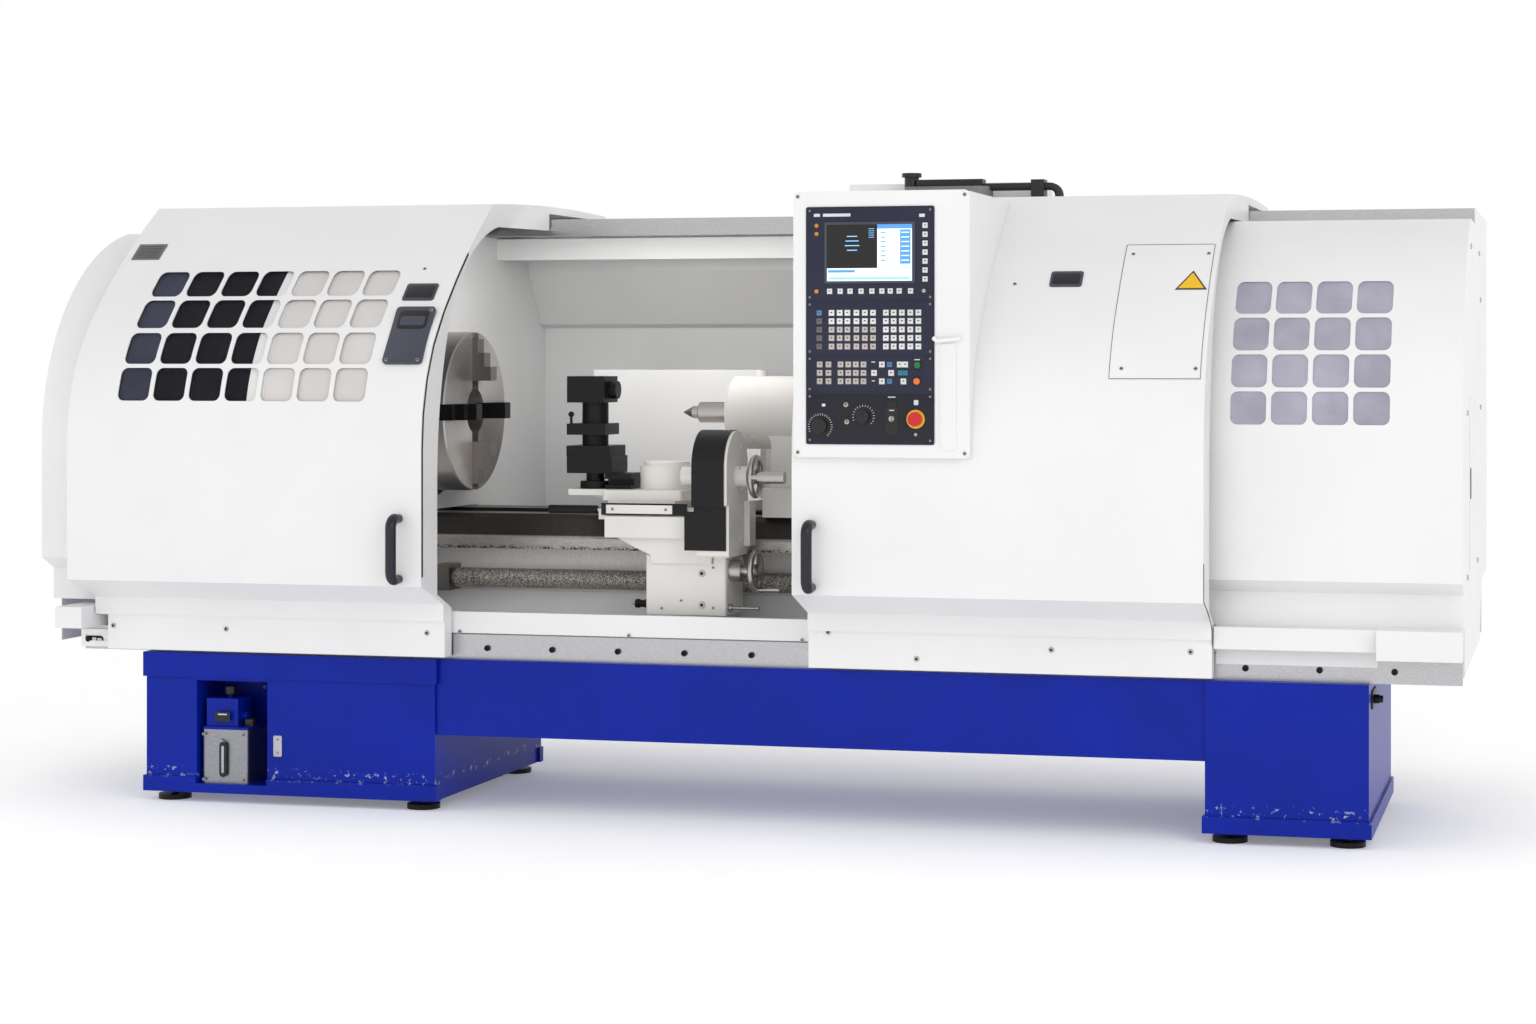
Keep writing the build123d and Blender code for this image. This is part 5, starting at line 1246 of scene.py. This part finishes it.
class FitBed(bpy.types.Operator):
    """Fit the trough's screws and the rail's stop"""

    bl_idname = "lathe.fit_bed"
    bl_label = "Fit out the bed and rails"

    def execute(self, context):
        screws("trough_screws", 0.0065, 0.003,
               skin_places("chip_tray", *((x, 0.54) for x in (1.021, 1.558, 2.092))), "base")
        plate = Shape("rail_end_plate", "black oxide", "rail steel")
        point, _ = on_skin("rail_covers", -0.197, 0.488)
        face = point + FORWARD * 0.002
        plate.slab(point, FORWARD, (0.062, 0.022), 0.002, 0, 0.010)
        plate.turned(face + LEFTWARD * 0.02, FORWARD, ((0, 0.009), (0.004, 0.008)), 0, 20)
        plate.slab(face + LEVEL * 0.001, FORWARD, (0.014, 0.012), 0.0015, 1, 0.003)
        plate.slab(face + LEVEL * 0.019, FORWARD, (0.016, 0.008), 0.001, 1, 0.003)
        plate.done("base", 0.0004)
        return {"FINISHED"}


class FitBase(bpy.types.Operator):
    """Fit the lubrication unit's details and the base's plates"""

    bl_idname = "lathe.fit_base"
    bl_label = "Fit out the base"

    def execute(self, context):
        self.fit_pump()
        self.fit_tank()
        self.fit_plates()
        return {"FINISHED"}

    def fit_pump(self):
        """The pump's knobs and its small blank label."""
        low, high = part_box("lube_pump")
        middle = (low.x + high.x) / 2
        pump = Shape("pump_details", "black plastic", "white ink", "screen black")
        knob, _ = on_skin("lube_pump", middle - LEFT, high.z - 0.004)
        profile = ((0, 0.006), (0.003, 0.017), (0.02, 0.019), (0.027, 0.018), (0.03, 0.01))
        for place in (Vector((middle, knob.y + 0.008, high.z - 0.026)), at(0.322, 0.052, 0.226)):
            pump.turned(place, UPWARD, profile, 0, 9)
        label_x = middle - 0.006
        pump.slab(Vector((label_x, low.y, low.z + 0.04)), FORWARD, (0.05, 0.03), 0.0016, 2, 0.003)
        pump.slab(Vector((label_x, low.y - 0.0016, low.z + 0.047)), FORWARD, (0.03, 0.004), 0.0006, 1)
        pump.done("base", 0.0004)

    def fit_tank(self):
        """The tank's sight glass, and the screws of the tank and its niche."""
        low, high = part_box("lube_tank")
        tank = Shape("tank_sight_glass", "black plastic", "rail steel", "screen line")
        sight = Vector(((low.x + high.x) / 2, low.y, low.z + 0.075))
        tank.slab(sight, FORWARD, (0.024, 0.108), 0.003, 0, 0.011)
        tank.slab(sight + FORWARD * 0.003, FORWARD, (0.008, 0.084), 0.0012, 1, 0.004)
        tank.done("base", 0.0004)
        niche = [front_place(x, 0.18, z) for x, z in ((0.308, 0.336), (0.39, 0.07), (0.39, 0.336))]
        screws("niche_screws", 0.005, 0.002,
               box_corners(low, high, 0.012, 0.012, 0.012, 0.014) + niche, "base")

    def fit_plates(self):
        """The base's blank plate, and the cable entry on the right leg."""
        x, height, thick = 0.441, 0.18, 0.0022
        plate = Shape("base_plate", "rail steel")
        plate.slab(at(x, 0.0, height), FORWARD, (0.028, 0.064), thick, 0, 0.004)
        plate.done("base", 0.0004)
        screws("base_plate_screws", 0.004, 0.0016,
               [front_place(x, -thick, z) for z in (height - 0.02, height + 0.02)], "base")
        bracket = Shape("leg_cable_entry", "black oxide")
        right, level = 3.733, 0.405
        bracket.slab(at(right, 0.16, level), LEVEL, (0.14, 0.052), 0.004, 0, 0.006)
        bracket.turned(at(right, 0.13, level), LEVEL,
                       ((0, 0.014), (0.02, 0.014), (0.021, 0.011), (0.03, 0.011)), 0, 6)
        bracket.done("base", 0.0008)


# ------------------------------------------------------------------ stage
def add_lamp(name, place, power, width, depth=None):
    """A soft lamp that the camera doesn't see."""
    light = bpy.data.lights.new(name, "AREA")
    light.energy = power
    light.size = width
    if depth:
        light.shape = "RECTANGLE"
        light.size_y = depth
    lamp = new_object(name, light)
    lamp.location = place
    lamp.visible_camera = False
    lamp.visible_glossy = name == "Key light"
    return lamp


class SetStage(bpy.types.Operator):
    """Lay the floor, light it softly and set up the camera"""

    bl_idname = "lathe.set_stage"
    bl_label = "Set the stage"

    def execute(self, context):
        self.lay_floor()
        self.hang_sky(context.scene)
        self.set_lamps()
        self.set_camera(context.scene)
        return {"FINISHED"}

    def lay_floor(self):
        """A wide white floor."""
        reach = 60.0
        mesh = bmesh.new()
        bmesh.ops.create_grid(mesh, x_segments=2, y_segments=2, size=reach)
        floor = new_object("studio_floor", new_mesh("studio_floor", mesh))
        painted("floor paint", tone(254, 254, 254), tone(252, 252, 252), 0.85, 0.0, 2.0,
                Specular_IOR_Level=0.05, Emission_Color=(1.0, 1.0, 1.0, 1.0), Emission_Strength=0.2)
        floor.data.materials.append(FINISHES["floor paint"])

    def hang_sky(self, scene):
        """White all round, and a little dimmer overhead."""
        world = bpy.data.worlds.new("Studio")
        world.use_nodes = True
        tree = world.node_tree
        sky = tree.nodes["Background"]
        _, _, height = parts_of(tree, tree.nodes.new("ShaderNodeTexCoord").outputs["Generated"])
        tree.links.new(spread(tree, height, 0.25, 1.0, 1.0, 0.66), sky.inputs["Strength"])
        sky.inputs["Color"].default_value = (1.0, 1.0, 1.0, 1.0)
        scene.world = world

    def set_lamps(self):
        """Three soft lamps round the machine, and one inside the work space."""
        middle = Vector((0.1, 0.0, 1.0))
        for name, place, power, width in (
                ("Key light", (4.2, -5.0, 4.2), 60.0, 3.2),
                ("Fill light", (-4.5, -4.5, 3.0), 14.0, 3.0),
                ("Low light", (-0.6, -6.5, 0.7), 16.0, 2.0)):
            lamp = add_lamp(name, place, power, width)
            lamp.rotation_euler = (middle - Vector(place)).to_track_quat("-Z", "Y").to_euler()
        lamp = add_lamp("Work light", at(1.5, 0.35, 1.66), 3.6, 1.1, 0.3)
        lamp.data.color = (1.0, 0.985, 0.965)
        lamp.rotation_euler = (math.radians(42), 0.0, 0.0)

    def set_camera(self, scene):
        """A long lens, ahead of the right end and level."""
        lens = bpy.data.cameras.new("Camera")
        lens.lens = 65.84
        lens.sensor_width = 36.0
        lens.shift_x = -0.086
        lens.shift_y = -0.1016
        camera = new_object("Camera", lens)
        camera.location = at(4.332, -7.866, 1.370)
        camera.rotation_euler = (math.pi / 2, 0.0, math.radians(13.83))
        scene.camera = camera
        scene.view_settings.view_transform = "Standard"


OPERATORS = (MixFinishes, FitCovers, FitDoors, FitPanel, FitCarriage, FitBed, FitBase, SetStage)


class LathePanel(bpy.types.Panel):
    """The lathe's colours, sizes and steps."""

    bl_idname = "VIEW3D_PT_lathe"
    bl_label = "CNC turning lathe"
    bl_space_type = "VIEW_3D"
    bl_region_type = "UI"
    bl_category = "Lathe"

    def draw(self, context):
        colours, sizes = settings()
        for group in (colours, sizes):
            box = self.layout.box()
            for name in group.__annotations__:
                box.prop(group, name)
        for operator in OPERATORS:
            self.layout.operator(operator.bl_idname)


CLASSES = (LatheColours, LatheSizes, *OPERATORS, LathePanel)


def register():
    for cls in CLASSES:
        bpy.utils.register_class(cls)
    bpy.types.Scene.lathe_colours = bpy.props.PointerProperty(type=LatheColours)
    bpy.types.Scene.lathe_sizes = bpy.props.PointerProperty(type=LatheSizes)


def unregister():
    del bpy.types.Scene.lathe_sizes
    del bpy.types.Scene.lathe_colours
    for cls in reversed(CLASSES):
        bpy.utils.unregister_class(cls)


def main():
    register()
    for operator in OPERATORS:
        group, name = operator.bl_idname.split(".")
        getattr(getattr(bpy.ops, group), name)()


if __name__ == "__main__":
    main()
